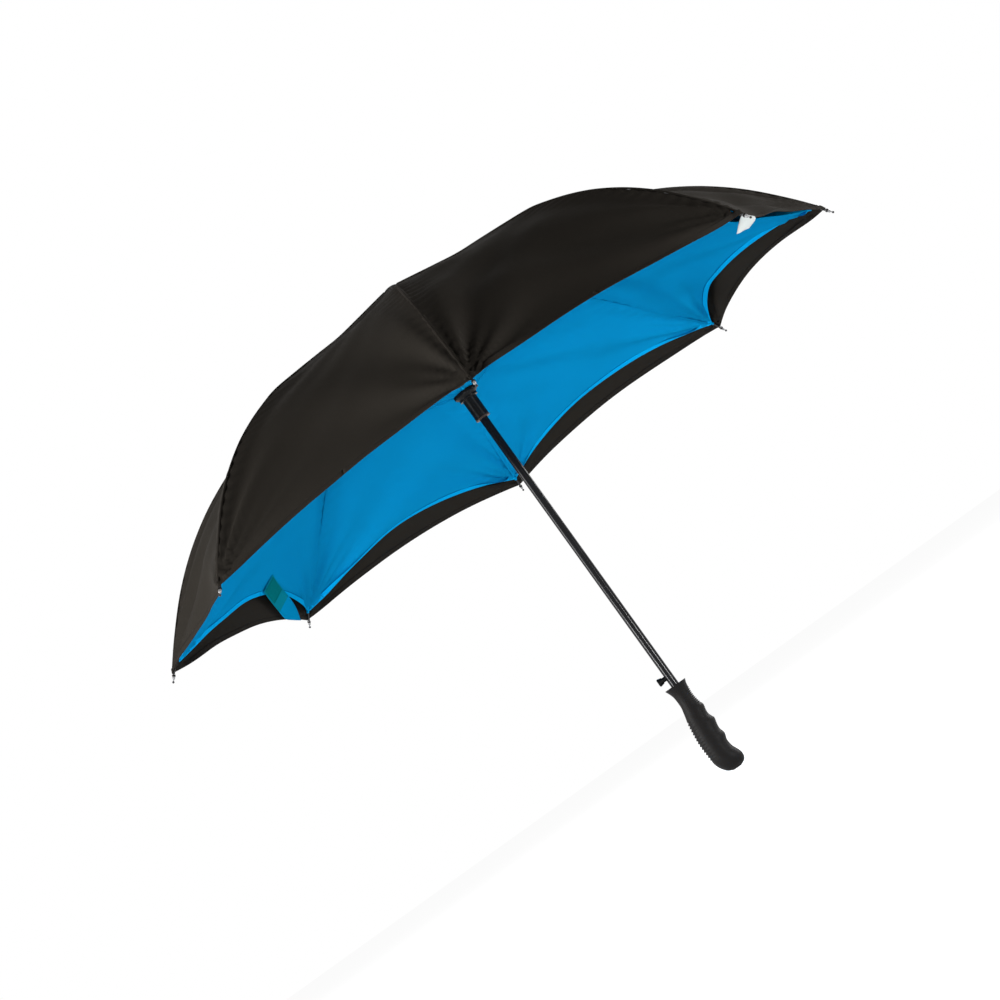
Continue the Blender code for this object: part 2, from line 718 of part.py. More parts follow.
def rib_tips():
    path = rib_path()
    end = path[-1]
    ahead = (path[-1] - path[-2]).normalized()
    corner = end - ahead * TIP_SOCKET_DEPTH
    bore = math.hypot(RIB_WIDTH, RIB_HEIGHT) / 2 + GAP
    sleeve = bore + TIP_SOCKET_WALL
    first = SEAM_GAP
    neck = TIP_SOCKET_DEPTH + SEAM_GAP + TIP_SOCKET_WALL
    ball_middle = TIP_LENGTH - TIP_BALL_RADIUS
    lean = math.asin(TIP_NECK_RADIUS / TIP_BALL_RADIUS)
    profile = [(0, TIP_LENGTH)]
    for i in range(1, 5):
        angle = (math.pi - lean) * i / 4
        profile.append((TIP_BALL_RADIUS * math.sin(angle), ball_middle + TIP_BALL_RADIUS * math.cos(angle)))
    profile += [
        (TIP_NECK_RADIUS, neck + TIP_SOCKET_WALL), (sleeve, neck), (sleeve, first),
        (bore, first), (bore, TIP_SOCKET_DEPTH + GAP), (0, TIP_SOCKET_DEPTH + GAP),
    ]
    for index in range(1, PANEL_COUNT + 1):
        matrix = panel_turn(index) @ along((ahead.x, 0, ahead.y), (corner.x, 0, corner.y))
        turned(f"rib_tip_{index}", profile, STEEL, steps=TIP_STEPS, matrix=matrix)


def notch_cutters(name, width, low, high):
    """One cutter with a radial box at every rib."""
    mesh = bpy.data.meshes.new(name)
    bm = bmesh.new()
    for index in range(1, PANEL_COUNT + 1):
        size = Vector((CROWN_RADIUS, width, high - low))
        centre = Vector((NOTCH_FLOOR_RADIUS + CROWN_RADIUS / 2, 0, (low + high) / 2))
        matrix = panel_turn(index) @ Matrix.Translation(centre) @ Matrix.Diagonal((*size, 1))
        bmesh.ops.create_cube(bm, size=1, matrix=matrix)
    bm.to_mesh(mesh)
    bm.free()
    return cutter(name, mesh)


def tie_groove(radius, pivot):
    """The part of a hub's profile that holds the tie wire."""
    return [
        (radius, pivot + GROOVE_HALF_WIDTH), (GROOVE_FLOOR_RADIUS, pivot + GROOVE_HALF_WIDTH),
        (GROOVE_FLOOR_RADIUS, pivot - GROOVE_HALF_WIDTH), (radius, pivot - GROOVE_HALF_WIDTH),
    ]


def tie_wire(name, pivot):
    count = SMALL_STEPS // 2
    profile = []
    for i in range(count):
        angle = -2 * math.pi * i / count
        profile.append((PIVOT_RADIUS + TIE_WIRE_RADIUS * math.cos(angle), pivot + TIE_WIRE_RADIUS * math.sin(angle)))
    turned(name, profile, STEEL, closed=True, steps=ROUND_STEPS + PANEL_COUNT)


def crown():
    top = CROWN_TOP_Z
    disc_bottom = CROWN_PIVOT_Z - CROWN_DISC_DROP
    boss_bottom = disc_bottom - CROWN_BOSS_LENGTH
    hole_floor = top - CROWN_SCREW_HOLE_DEPTH
    ceiling = SHAFT_TOP_Z + GAP
    profile = [
        (0, hole_floor), (CROWN_SCREW_HOLE_RADIUS, hole_floor), (CROWN_SCREW_HOLE_RADIUS, top),
        (CROWN_RADIUS - CROWN_CHAMFER, top), (CROWN_RADIUS, top - CROWN_CHAMFER),
        *tie_groove(CROWN_RADIUS, CROWN_PIVOT_Z),
        (CROWN_RADIUS, disc_bottom), (CROWN_BOSS_RADIUS, disc_bottom),
        (CROWN_BOSS_RADIUS, boss_bottom), (BORE_RADIUS, boss_bottom),
        (BORE_RADIUS, ceiling), (0, ceiling),
    ]
    obj = turned("crown", profile, GLOSS_BLACK)
    width = STRUT_TONGUE_WIDTH + 2 * SLOT_PLAY
    low, high = disc_bottom - CUT_OVERRUN, top + CUT_OVERRUN
    cut(obj, notch_cutters("crown_notches", width, low, high))
    pin_place = along((0, 1, 0), (0, 0, CROWN_PIN_Z))
    hole = rod_mesh("crown_pin_hole", CROWN_PIN_RADIUS + GAP, 2 * CROWN_RADIUS)
    cut(obj, cutter("crown_pin_hole", hole, pin_place))
    pin = rod_mesh("crown_pin", CROWN_PIN_RADIUS, 2 * (CROWN_BOSS_RADIUS - GAP))
    place("crown_pin", pin, STEEL, pin_place)
    tie_wire("crown_wire", CROWN_PIVOT_Z)
    cap_bottom = FABRIC_CLAMP_Z + FABRIC_THICKNESS / 2 + GAP
    spigot = CROWN_SCREW_HOLE_RADIUS - GAP
    turned("top_cap", [
        (0, cap_bottom + CAP_HEIGHT), (CAP_FLAT_RADIUS, cap_bottom + CAP_HEIGHT),
        ((CAP_FLAT_RADIUS + CAP_RADIUS) / 2, cap_bottom + (2 * CAP_HEIGHT + CAP_EDGE_HEIGHT) / 3),
        (CAP_RADIUS, cap_bottom + CAP_EDGE_HEIGHT), (CAP_RADIUS, cap_bottom),
        (spigot, cap_bottom), (spigot, hole_floor + GAP), (0, hole_floor + GAP),
    ], GLOSS_BLACK)


def shaft():
    obj = turned("shaft_tube", ring_profile(TUBE_BORE, SHAFT_RADIUS, SHAFT_BOTTOM_Z, SHAFT_TOP_Z),
                 BLACK_METAL, closed=True)
    low = PLUNGER_Z - RUNNER_TRAVEL - CUT_OVERRUN
    high = PLUNGER_Z + PLUNGER_HEIGHT + CUT_OVERRUN
    slot = box_mesh("shaft_slot", (-SLOT_WIDTH / 2, TUBE_BORE / 2, low),
                    (SLOT_WIDTH / 2, SHAFT_RADIUS + CUT_OVERRUN, high))
    cut(obj, cutter("shaft_slot", slot))
    pin_place = along((0, 1, 0), (0, 0, CROWN_PIN_Z))
    hole = rod_mesh("shaft_pin_hole", CROWN_PIN_RADIUS + GAP, 2 * CROWN_RADIUS)
    cut(obj, cutter("shaft_pin_hole", hole, pin_place))
    stem_hole = rod_mesh("shaft_stem_hole", BUTTON_STEM_RADIUS + GAP, SHAFT_RADIUS, ROUND_STEPS)
    cut(obj, cutter("shaft_stem_hole", stem_hole, along((-1, 0, 0), (-SHAFT_RADIUS, 0, BUTTON_Z))))
    plug_top = SHAFT_BOTTOM_Z + PLUG_LENGTH
    plug_low = SHAFT_BOTTOM_Z - GAP
    plug_radius = TUBE_BORE - GAP
    turned("shaft_plug", [
        (0, plug_top), (plug_radius, plug_top), (plug_radius, plug_low), (SHAFT_RADIUS, plug_low),
        (SHAFT_RADIUS, plug_low - PLUG_HEAD_HEIGHT), (0, plug_low - PLUG_HEAD_HEIGHT),
    ], GLOSS_BLACK)
    stop_low = RUNNER_TOP_Z + GAP
    turned("runner_stop", ring_profile(BORE_RADIUS, BORE_RADIUS + STOP_RING_WIDTH, stop_low,
                                       stop_low + STOP_RING_HEIGHT), STEEL, closed=True)


def runner():
    head_bottom = RUNNER_PIVOT_Z - RUNNER_HEAD_DROP
    flange_bottom = FLANGE_TOP_Z - RUNNER_FLANGE_HEIGHT
    step = (flange_bottom + FLANGE_TOP_Z - RUNNER_FLANGE_RIM) / 2
    head = RUNNER_HEAD_RADIUS
    profile = [
        (BORE_RADIUS, RUNNER_TOP_Z), (head - CROWN_CHAMFER, RUNNER_TOP_Z),
        (head, RUNNER_TOP_Z - CROWN_CHAMFER), *tie_groove(head, RUNNER_PIVOT_Z),
        (head, head_bottom), (RUNNER_NECK_RADIUS, head_bottom),
        (RUNNER_NECK_RADIUS, FLANGE_TOP_Z), (RUNNER_FLANGE_RADIUS, FLANGE_TOP_Z),
        (RUNNER_FLANGE_RADIUS, FLANGE_TOP_Z - RUNNER_FLANGE_RIM), (RUNNER_STEP_RADIUS, step),
        (RUNNER_STEP_RADIUS, flange_bottom), (RUNNER_SLEEVE_RADIUS, flange_bottom),
        (RUNNER_SLEEVE_RADIUS, SLEEVE_BOTTOM_Z), (BORE_RADIUS, SLEEVE_BOTTOM_Z),
    ]
    obj = turned("runner", profile, GLOSS_BLACK, closed=True)
    low, high = head_bottom - CUT_OVERRUN, RUNNER_TOP_Z + CUT_OVERRUN
    cut(obj, notch_cutters("runner_notches", RIB_WIDTH + 2 * SLOT_PLAY, low, high))
    key_low = PLUNGER_Z - GAP
    keyway = box_mesh("runner_keyway", (-SLOT_WIDTH / 2, 0, key_low),
                      (SLOT_WIDTH / 2, KEY_REACH + GAP, PLUNGER_Z + PLUNGER_HEIGHT + GAP))
    cut(obj, cutter("runner_keyway", keyway))
    ring_top = SLEEVE_BOTTOM_Z - GAP
    turned("runner_ring", ring_profile(BORE_RADIUS, RUNNER_SLEEVE_RADIUS + RUNNER_RING_LIP,
                                       ring_top - RUNNER_RING_HEIGHT, ring_top), BROWN_RING, closed=True)
    clamp_low = INNER_CLAMP_Z + FABRIC_THICKNESS / 2 + GAP
    clamp_inner = RUNNER_NECK_RADIUS + GAP
    turned("canopy_clamp_ring", ring_profile(clamp_inner, clamp_inner + CLAMP_RING_WIDTH, clamp_low,
                                             clamp_low + CLAMP_RING_HEIGHT), GLOSS_BLACK, closed=True)
    tie_wire("runner_wire", RUNNER_PIVOT_Z)


def opening_spring():
    plunger = rod_mesh("spring_plunger", PLUNGER_RADIUS, PLUNGER_HEIGHT, ROUND_STEPS)
    plunger_middle = PLUNGER_Z + PLUNGER_HEIGHT / 2
    obj = place("spring_plunger", plunger, STEEL, Matrix.Translation((0, 0, plunger_middle)))
    half = SLOT_WIDTH / 2 - SLOT_PLAY
    key = box_mesh("plunger_key", (-half, 0, -KEY_HEIGHT / 2), (half, KEY_REACH, KEY_HEIGHT / 2))
    cut(obj, cutter("plunger_key", key, Matrix.Translation((0, 0, plunger_middle))), "UNION")
    bottom = PLUNGER_Z + PLUNGER_HEIGHT + GAP
    top = CROWN_PIN_Z - CROWN_PIN_RADIUS - GAP
    turned("opening_spring", ring_profile(SPRING_RADIUS - SPRING_WIRE, SPRING_RADIUS, bottom, top),
           STEEL, closed=True)


def release_button():
    reach = BUTTON_REACH
    shoulder = reach - BUTTON_KNOB_LENGTH
    end = TUBE_BORE - BUTTON_STEM_INSET
    profile = [
        (0, reach), (BUTTON_KNOB_RADIUS - BUTTON_EDGE, reach),
        (BUTTON_KNOB_RADIUS - BUTTON_EDGE / 4, reach - BUTTON_EDGE / 3),
        (BUTTON_KNOB_RADIUS, reach - BUTTON_EDGE), (BUTTON_ROOT_RADIUS, shoulder),
        (BUTTON_STEM_RADIUS, shoulder),
        (BUTTON_STEM_RADIUS, end), (0, end),
    ]
    turned("release_button", profile, GLOSS_BLACK, steps=ROUND_STEPS,
           matrix=along((-1, 0, 0), (0, 0, BUTTON_Z)))
    near = end - GAP
    middle = [
        Vector((-near, 0)), Vector((-near, CATCH_LENGTH / 4)),
        Vector((-near + CATCH_BOW, CATCH_LENGTH / 2)), Vector((-near, CATCH_LENGTH * 3 / 4)),
    ]
    outline = middle + [Vector((p.x + CATCH_THICKNESS, p.y)) for p in middle[::-1]]
    mesh = solid_of(flat_curve("catch_spring", [outline], CATCH_WIDTH), upright())
    start = Vector((0, 0, BUTTON_Z - CATCH_LENGTH / 8))
    place("catch_spring", mesh, STEEL, Matrix.Translation(start))


def grip_depths():
    """Depth shares of the grip's rings: two at each tooth, and the outline's own elsewhere."""
    start, end = GRIP_TEETH_START_SHARE, GRIP_TEETH_END_SHARE
    marks = [share for share, _ in GRIP_BACK_SHARES if share < start or share > end]
    pitch = (end - start) / GRIP_TOOTH_COUNT
    teeth = []
    for tooth in range(GRIP_TOOTH_COUNT):
        teeth += [(start + pitch * tooth, 0), (start + pitch * (tooth + 0.55), 1)]
    rings = [(mark, 0) for mark in marks] + teeth + [(end, 0)]
    return sorted(rings)


def grip():
    mesh = bpy.data.meshes.new("grip")
    bm = bmesh.new()
    rings = []
    for depth, tooth in grip_depths():
        back = -table_at(GRIP_BACK_SHARES, depth) * GRIP_HALF_WIDTH
        front = table_at(GRIP_FINGER_SHARES, depth) * GRIP_HALF_WIDTH
        side = table_at(GRIP_SIDE_SHARES, depth) * GRIP_HALF_DEPTH
        centre, half = (back + front) / 2, (front - back) / 2
        z = GRIP_TOP - depth * GRIP_LENGTH
        ring = []
        for i in range(GRIP_SIDES):
            angle = 2 * math.pi * i / GRIP_SIDES
            x = centre + half * math.cos(angle)
            rear = max(-math.cos(angle), 0) ** 2
            x += GRIP_TOOTH_DEPTH * rear * (0 if tooth else -1) * (depth > GRIP_TEETH_START_SHARE)
            x += GRIP_TOOTH_DEPTH * rear * (depth > GRIP_TEETH_START_SHARE) * 0.5
            ring.append(bm.verts.new((x, side * math.sin(angle), z)))
        rings.append(ring)
    for upper, lower in zip(rings, rings[1:]):
        for i in range(GRIP_SIDES):
            j = (i + 1) % GRIP_SIDES
            bm.faces.new((upper[i], lower[i], lower[j], upper[j]))
    bm.faces.new(rings[0])
    bm.faces.new(rings[-1][::-1])
    bmesh.ops.recalc_face_normals(bm, faces=bm.faces)
    bm.to_mesh(mesh)
    bm.free()
    mesh.shade_smooth()
    obj = place("grip", mesh, MATT_RUBBER)
    core_radius = BORE_RADIUS + CORE_WALL
    floor = GRIP_BOTTOM + GRIP_END_WALL
    bore = rod_mesh("grip_bore", core_radius + GAP, GRIP_TOP - floor + CUT_OVERRUN, ROUND_STEPS)
    bore_place = Matrix.Translation((0, 0, (GRIP_TOP + floor + CUT_OVERRUN) / 2))
    cut(obj, cutter("grip_bore", bore, bore_place))
    turned("grip_core", ring_profile(BORE_RADIUS, core_radius, floor + GAP, GRIP_TOP), GLOSS_BLACK,
           closed=True)


def band_mesh(name, stations, across_of, width, lift_of):
    """A flat band along stations, as an open sheet."""
    mesh = bpy.data.meshes.new(name)
    bm = bmesh.new()
    rows = []
    for point, across, lift in zip(stations, across_of, lift_of):
        middle = point + lift
        rows.append([bm.verts.new(middle - across * (width / 2)), bm.verts.new(middle + across * (width / 2))])
    for before, after in zip(rows, rows[1:]):
        bm.faces.new((before[0], after[0], after[1], before[1]))
    bm.to_mesh(mesh)
    bm.free()
    return mesh


def strap():
    """The closing strap, stuck by its patch under the inner canopy, and sewn at its hem end."""
    seam = inner_seam()
    count = PANEL_COLUMNS
    points = []
    for i in range(count + 1):
        x = i / count
        place_share = STRAP_OUTER_END_SHARES[0] * (1 - x) + STRAP_INNER_END_SHARES[0] * x
        across_share = STRAP_OUTER_END_SHARES[1] * (1 - x) + STRAP_INNER_END_SHARES[1] * x
        points.append(panel_point(seam, INNER_SAG_SHARE, place_share, across_share))
    run = (points[-1] - points[0]).normalized()
    outer = panel_point(seam, INNER_SAG_SHARE, STRAP_OUTER_END_SHARES[0], STRAP_OUTER_END_SHARES[1])
    inner = panel_point(seam, INNER_SAG_SHARE, STRAP_INNER_END_SHARES[0], STRAP_OUTER_END_SHARES[1])
    up_panel = (outer - inner).normalized()
    down = up_panel.cross(run).normalized()
    if down.z > 0:
        down = -down
    across = run.cross(down).normalized()
    offset = FABRIC_THICKNESS / 2 + GAP + STRAP_THICKNESS / 2 + GAP
    lifts = [down * offset for _ in points]
    sheet = band_mesh("closing_strap", points, [across] * len(points), STRAP_WIDTH, lifts)
    obj = place("closing_strap", sheet, CYAN_FABRIC, panel_turn(STRAP_PANEL))
    thicken(obj, STRAP_THICKNESS)
    patch_offset = offset + STRAP_THICKNESS / 2 + GAP + PATCH_THICKNESS / 2
    last = (points[-1] - points[-2]).normalized()
    ends = [points[-1] - last * PATCH_MARGIN, points[-1] - last * (PATCH_MARGIN + PATCH_LENGTH)]
    patch = band_mesh("strap_patch", ends, [across] * 2, STRAP_WIDTH - 2 * PATCH_MARGIN,
                      [down * patch_offset] * 2)
    obj = place("strap_patch", patch, TEAL_PATCH, panel_turn(STRAP_PANEL))
    thicken(obj, PATCH_THICKNESS)


def label():
    """The bare label, sewn by its gathered end to the outer hem beside a rib's end."""
    seam = outer_seam()
    corners = []
    for across_share in LABEL_HEM_SHARES:
        reach = hem_share(seam, OUTER_HEM_RECESS, across_share)
        corners.append(panel_point(seam, OUTER_SAG_SHARE, reach, across_share))
    near, beside = corners
    normal = normals_of(seam)[-1]
    under = Vector((-normal.x, 0, -normal.y)) * (FABRIC_THICKNESS / 2 + GAP + LABEL_THICKNESS / 2)
    start = (near + beside) / 2 + under
    rows = [start + Vector(middle) for middle in LABEL_MIDDLES]
    ways = [(beside - near).normalized() * LABEL_GATHER_SHARE]
    ways += [Vector(way).normalized() for way in LABEL_WAYS]
    sheet = band_mesh("care_label", rows, ways, LABEL_WIDTH, [Vector()] * len(rows))
    obj = place("care_label", sheet, WHITE_LABEL, panel_turn(LABEL_PANEL))
    thicken(obj, LABEL_THICKNESS)


clear_scene()
PARTS = make_collection("inverted_umbrella")
CUTTERS = make_collection("cutters")
crown()
shaft()
runner()
opening_spring()
release_button()
grip()
ribs()
struts()
rib_tips()
canopy("outer", outer_seam(), OUTER_ROWS, OUTER_SAG_SHARE, OUTER_HEM_RECESS, BLACK_FABRIC)
canopy("inner", inner_seam(), INNER_ROWS, INNER_SAG_SHARE, INNER_HEM_RECESS, CYAN_FABRIC)
strap()
label()
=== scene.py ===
"""Looks of an inverted umbrella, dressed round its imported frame: two canopies, grip, shaft, runner and fittings.

Metres, +Z up. The origin is the middle of the grip on the shaft's axis, and rib 1 points along +X.
"""

import json
import math

import bmesh
import bpy
import numpy as np
from mathutils import Matrix, Vector
from mathutils.geometry import delaunay_2d_cdt


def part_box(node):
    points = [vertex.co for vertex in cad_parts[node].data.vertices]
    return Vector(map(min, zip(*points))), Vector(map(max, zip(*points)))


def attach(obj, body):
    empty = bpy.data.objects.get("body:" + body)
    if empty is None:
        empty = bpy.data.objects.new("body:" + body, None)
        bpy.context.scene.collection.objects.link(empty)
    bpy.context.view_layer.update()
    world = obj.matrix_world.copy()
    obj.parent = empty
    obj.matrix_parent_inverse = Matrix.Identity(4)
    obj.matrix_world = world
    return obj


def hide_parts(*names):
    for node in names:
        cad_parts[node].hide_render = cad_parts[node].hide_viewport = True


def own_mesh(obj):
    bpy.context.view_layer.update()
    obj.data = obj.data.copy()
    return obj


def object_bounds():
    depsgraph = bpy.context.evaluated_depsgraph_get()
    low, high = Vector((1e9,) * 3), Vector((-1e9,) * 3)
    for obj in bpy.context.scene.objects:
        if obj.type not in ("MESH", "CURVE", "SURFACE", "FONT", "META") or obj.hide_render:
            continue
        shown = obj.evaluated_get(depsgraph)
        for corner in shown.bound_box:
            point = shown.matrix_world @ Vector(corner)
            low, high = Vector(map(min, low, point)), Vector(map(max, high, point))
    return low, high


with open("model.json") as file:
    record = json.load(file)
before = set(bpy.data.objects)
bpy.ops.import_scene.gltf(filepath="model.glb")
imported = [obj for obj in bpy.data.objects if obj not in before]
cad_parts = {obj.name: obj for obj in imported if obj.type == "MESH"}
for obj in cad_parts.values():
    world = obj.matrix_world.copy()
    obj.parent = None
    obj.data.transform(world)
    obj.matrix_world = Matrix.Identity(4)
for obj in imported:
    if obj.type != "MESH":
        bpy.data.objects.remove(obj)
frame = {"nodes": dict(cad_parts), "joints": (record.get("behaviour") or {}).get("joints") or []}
cad_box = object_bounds()

bl_info = {
    "name": "Inverted Umbrella",
    "version": (1, 0, 0),
    "blender": (4, 5, 0),
    "location": "View3D > Sidebar > Umbrella",
    "description": "Dresses the folding frame of an inverted umbrella in cloth, rubber, lacquer and metal",
    "category": "Add Mesh",
}


def joint_place(name):
    """Where a joint of the frame lies at rest."""
    return Vector(next(joint["pos_m"] for joint in frame["joints"] if joint["name"] == name))


# Pivots of rib 1's linkage, from the frame
CROWN_PIVOT = joint_place("canopy_fold")
PIN = joint_place("rib_1_hinge")
RUNNER_PIVOT = joint_place("runner_travel")
BUTTON_Z = (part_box("release_button")[0].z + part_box("release_button")[1].z) / 2

# Canopies
RIB_COUNT = 8
PANEL_ANGLE = 2 * math.pi / RIB_COUNT
HALF_PANEL = PANEL_ANGLE / 2
CANOPY_RADIUS = 0.530
RIM_Z = CROWN_PIVOT.z - 0.2445
GAP = 0.0003
FABRIC_THICKNESS = 0.0004
FABRIC_OVER_PIN = 0.0135
RIB_HEIGHT = 0.0026
RIB_WIDTH = 0.0024
RIB_DROP = FABRIC_THICKNESS / 2 + 0.0006 + RIB_HEIGHT / 2
OUTER_HEM_RECESS = 0.025
INNER_HEM_RECESS = 0.060
OUTER_SAG_SHARE = 0.03
INNER_SAG_SHARE = 0.012
SAG_ONSET = 4
INNER_TIE_DROP = 0.024
CANOPY_HUB_RADIUS = 0.0085
INNER_HUB_RADIUS = 0.0110
CROWN_TOP_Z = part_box("crown")[1].z
FLANGE_TOP_Z = RUNNER_PIVOT.z - 0.0265
CROWN_CLAMP_RADIUS = 0.0143
RUNNER_CLAMP_RADIUS = 0.0140
PIN_ROW_SHARE = 0.497
# Lift of the outer seam over the strut, as shares of the strut's reach and of the lift over the pin
STRUT_LIFT_SHARES = ((0.12, 0.40), (0.29, 0.36), (0.46, 0.36), (0.64, 0.60), (0.83, 0.84), (1.0, 1.0))
# Fall of the outer seam from over the pin to the rim, as shares of radius and of height
OUTER_FALL_SHARES = (
    (0.10, 0.955), (0.26, 0.866), (0.41, 0.760), (0.57, 0.613),
    (0.725, 0.431), (0.88, 0.202), (1.0, 0.0),
)
# The inner seam under the rib's inner arm, as shares of its reach and of the tie drop
INNER_TIE_SHARES = ((0.33, 1.0), (0.66, 0.93), (0.90, 0.98))
# The inner seam beyond the pin, as shares of radius and of the pin's height over the rim
INNER_FALL_SHARES = ((0.04, 0.818), (0.18, 0.715), (0.49, 0.446), (0.725, 0.244))
INNER_CORNER_SHARE = 0.978
OUTER_SEAM_ROWS = 12
INNER_SEAM_ROWS = 9
SEAM_SAMPLES = 1600
SEAM_LOOK_SHARE = 1 / 12
RIM_LOOK_BACK = 9

# Creases of the cloth. Each fan of folds at a corner is (depth, reach, range of its folds' frequency)
FANS = ((0.0042, 0.036, (15, 19)), (0.0042, 0.115, (8, 11)))
FAN_ONSET_ANGLE = 0.16
FAN_SWELL = 1.5
FAN_DEPTH_SHARES = (0.55, 1.0)
FAN_WOBBLE_DEPTH = 0.5
FAN_WOBBLE_FREQUENCY = 3
FADE_POWER = 0.7
SOFT_WAVE_DEPTH = 0.0020
SOFT_WAVE_COUNT = 4
SOFT_WAVE_TURNS_ALONG = (3, 9)
SOFT_WAVE_TURNS_ACROSS = (1.2, 3.2)
SOFT_WAVE_ONSET = 3
PUCKER_DEPTH = 0.0011
PUCKER_PITCH = 0.0175
PUCKER_REACH = 0.016
PUCKER_ONSET = 0.004
PUCKER_RISE = 6
CROWN_GATHER_DEPTH = 0.0004
CROWN_GATHER_REACH = 0.045
CROWN_GATHER_FOLDS = 7
PHASES = (0, 6.3)

# Seams, hems and stitches
OUTER_HEM_WIDTH = 0.0070
INNER_HEM_WIDTH = 0.0072
HEM_THICKNESS = 0.0011
HEM_EDGE = 0.0004
# Upper side of the hem's section: a share of its edge or of its width, and of its half thickness
HEM_EDGE_SHARES = ((-0.5, 0.8), (1, 1))
HEM_WIDTH_SHARES = ((0.85, 1), (1, 0.45))
HEM_STEPS = 56
HEM_START_SHARE = 0.006
HEM_BUNCHING = 1.25
HEM_LOOK_IN_SHARE = 0.006
HEM_STITCH_SHARE = 0.84
WELT_WIDTH = 0.0044
WELT_HEIGHT = 0.0012
# Sides of the hem's section at its inner edge, which take the darker thread colour: painted shade along the step
# where the hem ends
HEM_PAINTED_SHADE_SIDES = (3, 4, 5)
WELT_STEPS = 90
WELT_FALL_SHARE = 0.6
# Section of the felled seam, as shares of its half width, of its fall to either side and of its height
WELT_SHARES = (
    (-1, 1, 0), (-0.7, 0.7, 0.5), (-0.25, 0, 0.85), (0, 0, 1), (0.25, 0, 0.85),
    (0.7, 0.7, 0.5), (1, 1, 0), (0.6, 0.6, -0.4), (0, 0, -0.4), (-0.6, 0.6, -0.4),
)
WELT_STITCH_POINT = 5
CROWN_WELT_START = 0.05
RIM_WELT_END = 0.995
INNER_WELT_SPAN = (0.10, 0.99)
STITCH_LENGTH = 0.0024
STITCH_PITCH = 0.0033
STITCH_WIDTH = 0.0005
STITCH_HEIGHT = 0.00025

# Strips behind the hub ends of the inner seams, which close them when the panels draw apart
BACKING_SHARES = (0.055, 0.30)
BACKING_HALF_WIDTHS = (0.0150, 0.0040)
BACKING_LIFT = 0.0008
BACKING_PANEL_SHARE = 0.97
BACKING_ROWS = 25
BACKING_COLUMNS = 9

# Cloth loops that hold the inner corners on the ribs
LOOP_SPAN = (-0.004, 0.012)
LOOP_DROP = 0.0007
LOOP_LENGTH = 0.009
LOOP_WALL = 0.0005
LOOP_SIDES = 20
LOOP_CLEARANCE = (0.0008, 0.0009)
# The loop's rings, as shares of its length and of its section
LOOP_RINGS = ((0, 0.92), (0.15, 1.0), (0.85, 1.0), (1, 0.92))

# Vent rings of the inner canopy
VENT_RING_RADIUS = 0.0165
VENT_RING_SPACING = 0.041
VENT_HOLE_RADIUS = 0.0018
VENT_HOLES = 12
VENT_HOLE_POINTS = 10
VENT_RING_REACH = 0.178
VENT_MARGIN = 0.0009
VENT_CLEAR_SHARE = 0.96
VENT_MERGE_DISTANCE = 1e-7

# Grids
OUTER_STRUT_ROWS = 46
OUTER_RIB_ROWS = 72
INNER_ROWS = 104
VENT_ROWS = (27, 58)
COLUMNS = 24
COLUMN_BUNCHING = 1.45
MIDDLE_STRIP = 0.992
PIN_STRIP = 0.0012

# How the cloth gathers as the frame folds: lean of the squash axis in degrees, and what is left of it
INNER_GATHER = (38.99, 78.74, 0.363)
OUTER_GATHER = (32.76, 81.49, 0.4415)

# Collar that gathers the inner canopy on the runner
COLLAR_FOOT_RADIUS = 0.0138
COLLAR_TOP_RADIUS = 0.0300
COLLAR_HEIGHT = 0.0250
COLLAR_PLEATS = 24
COLLAR_PLEAT_DEPTH = 0.0009
COLLAR_ROWS = 8
COLLAR_STEPS_PER_PLEAT = 6

# Shaft and runner
SHAFT_RADIUS = 0.0058
SHAFT_WALL = 0.0008
SLOT_WIDTH = 0.0024
BORE_RADIUS = 0.0061
RUNNER_HEAD_RADIUS = 0.0165
RUNNER_HEAD_DROP = 0.0035
RUNNER_NECK_RADIUS = 0.0095
RUNNER_FLANGE_RADIUS = 0.0175
RUNNER_FLANGE_RIM = 0.0045
RUNNER_RIM_RIBS = 48
RUNNER_RIM_RIB_DEPTH = 0.0005
RUNNER_STEP_RADIUS = 0.0135
RUNNER_FLANGE_HEIGHT = 0.0115
RUNNER_SLEEVE_RADIUS = 0.01035
NOTCH_FLOOR_RADIUS = 0.0114
NOTCH_WIDTH = 0.0030
EDGE_ROUND = 0.0007
ON_AXIS = 1e-6
ROUND_LIMIT = 2.2
TURN_STEPS = 72
SHAFT_STEPS = 96
SLOT_END_ROOM = 0.002
NOTCH_HEIGHT = 0.012
RUNNER_HEAD_BEVEL = 0.0022

# Top cap
CAP_FLAT_RADIUS = 0.0052
CAP_SLOPE_SHARE = 0.74
CAP_SLOPE_RISE = 0.0030
CAP_EDGE_RISE = 0.0012
CAP_PEG_RADIUS = 0.0026
CAP_PEG_ROOM = 0.0002
CAP_ROUND = 0.0012

# Opening spring
SPRING_COIL_RADIUS = 0.0031
SPRING_WIRE_RADIUS = 0.0005
SPRING_PITCH = 0.0026
SPRING_STEPS_PER_TURN = 16
WIRE_SIDES = 6

# Button
BUTTON_REACH = 0.0170
BUTTON_KNOB_RADIUS = 0.0060
BUTTON_ROOT_RADIUS = 0.0042
BUTTON_KNOB_LENGTH = 0.0072
BUTTON_STEM_RADIUS = 0.0034
BUTTON_STEM_END = 0.0042
BUTTON_ROUND = 0.0026
BUTTON_ROUND_STEPS = 6

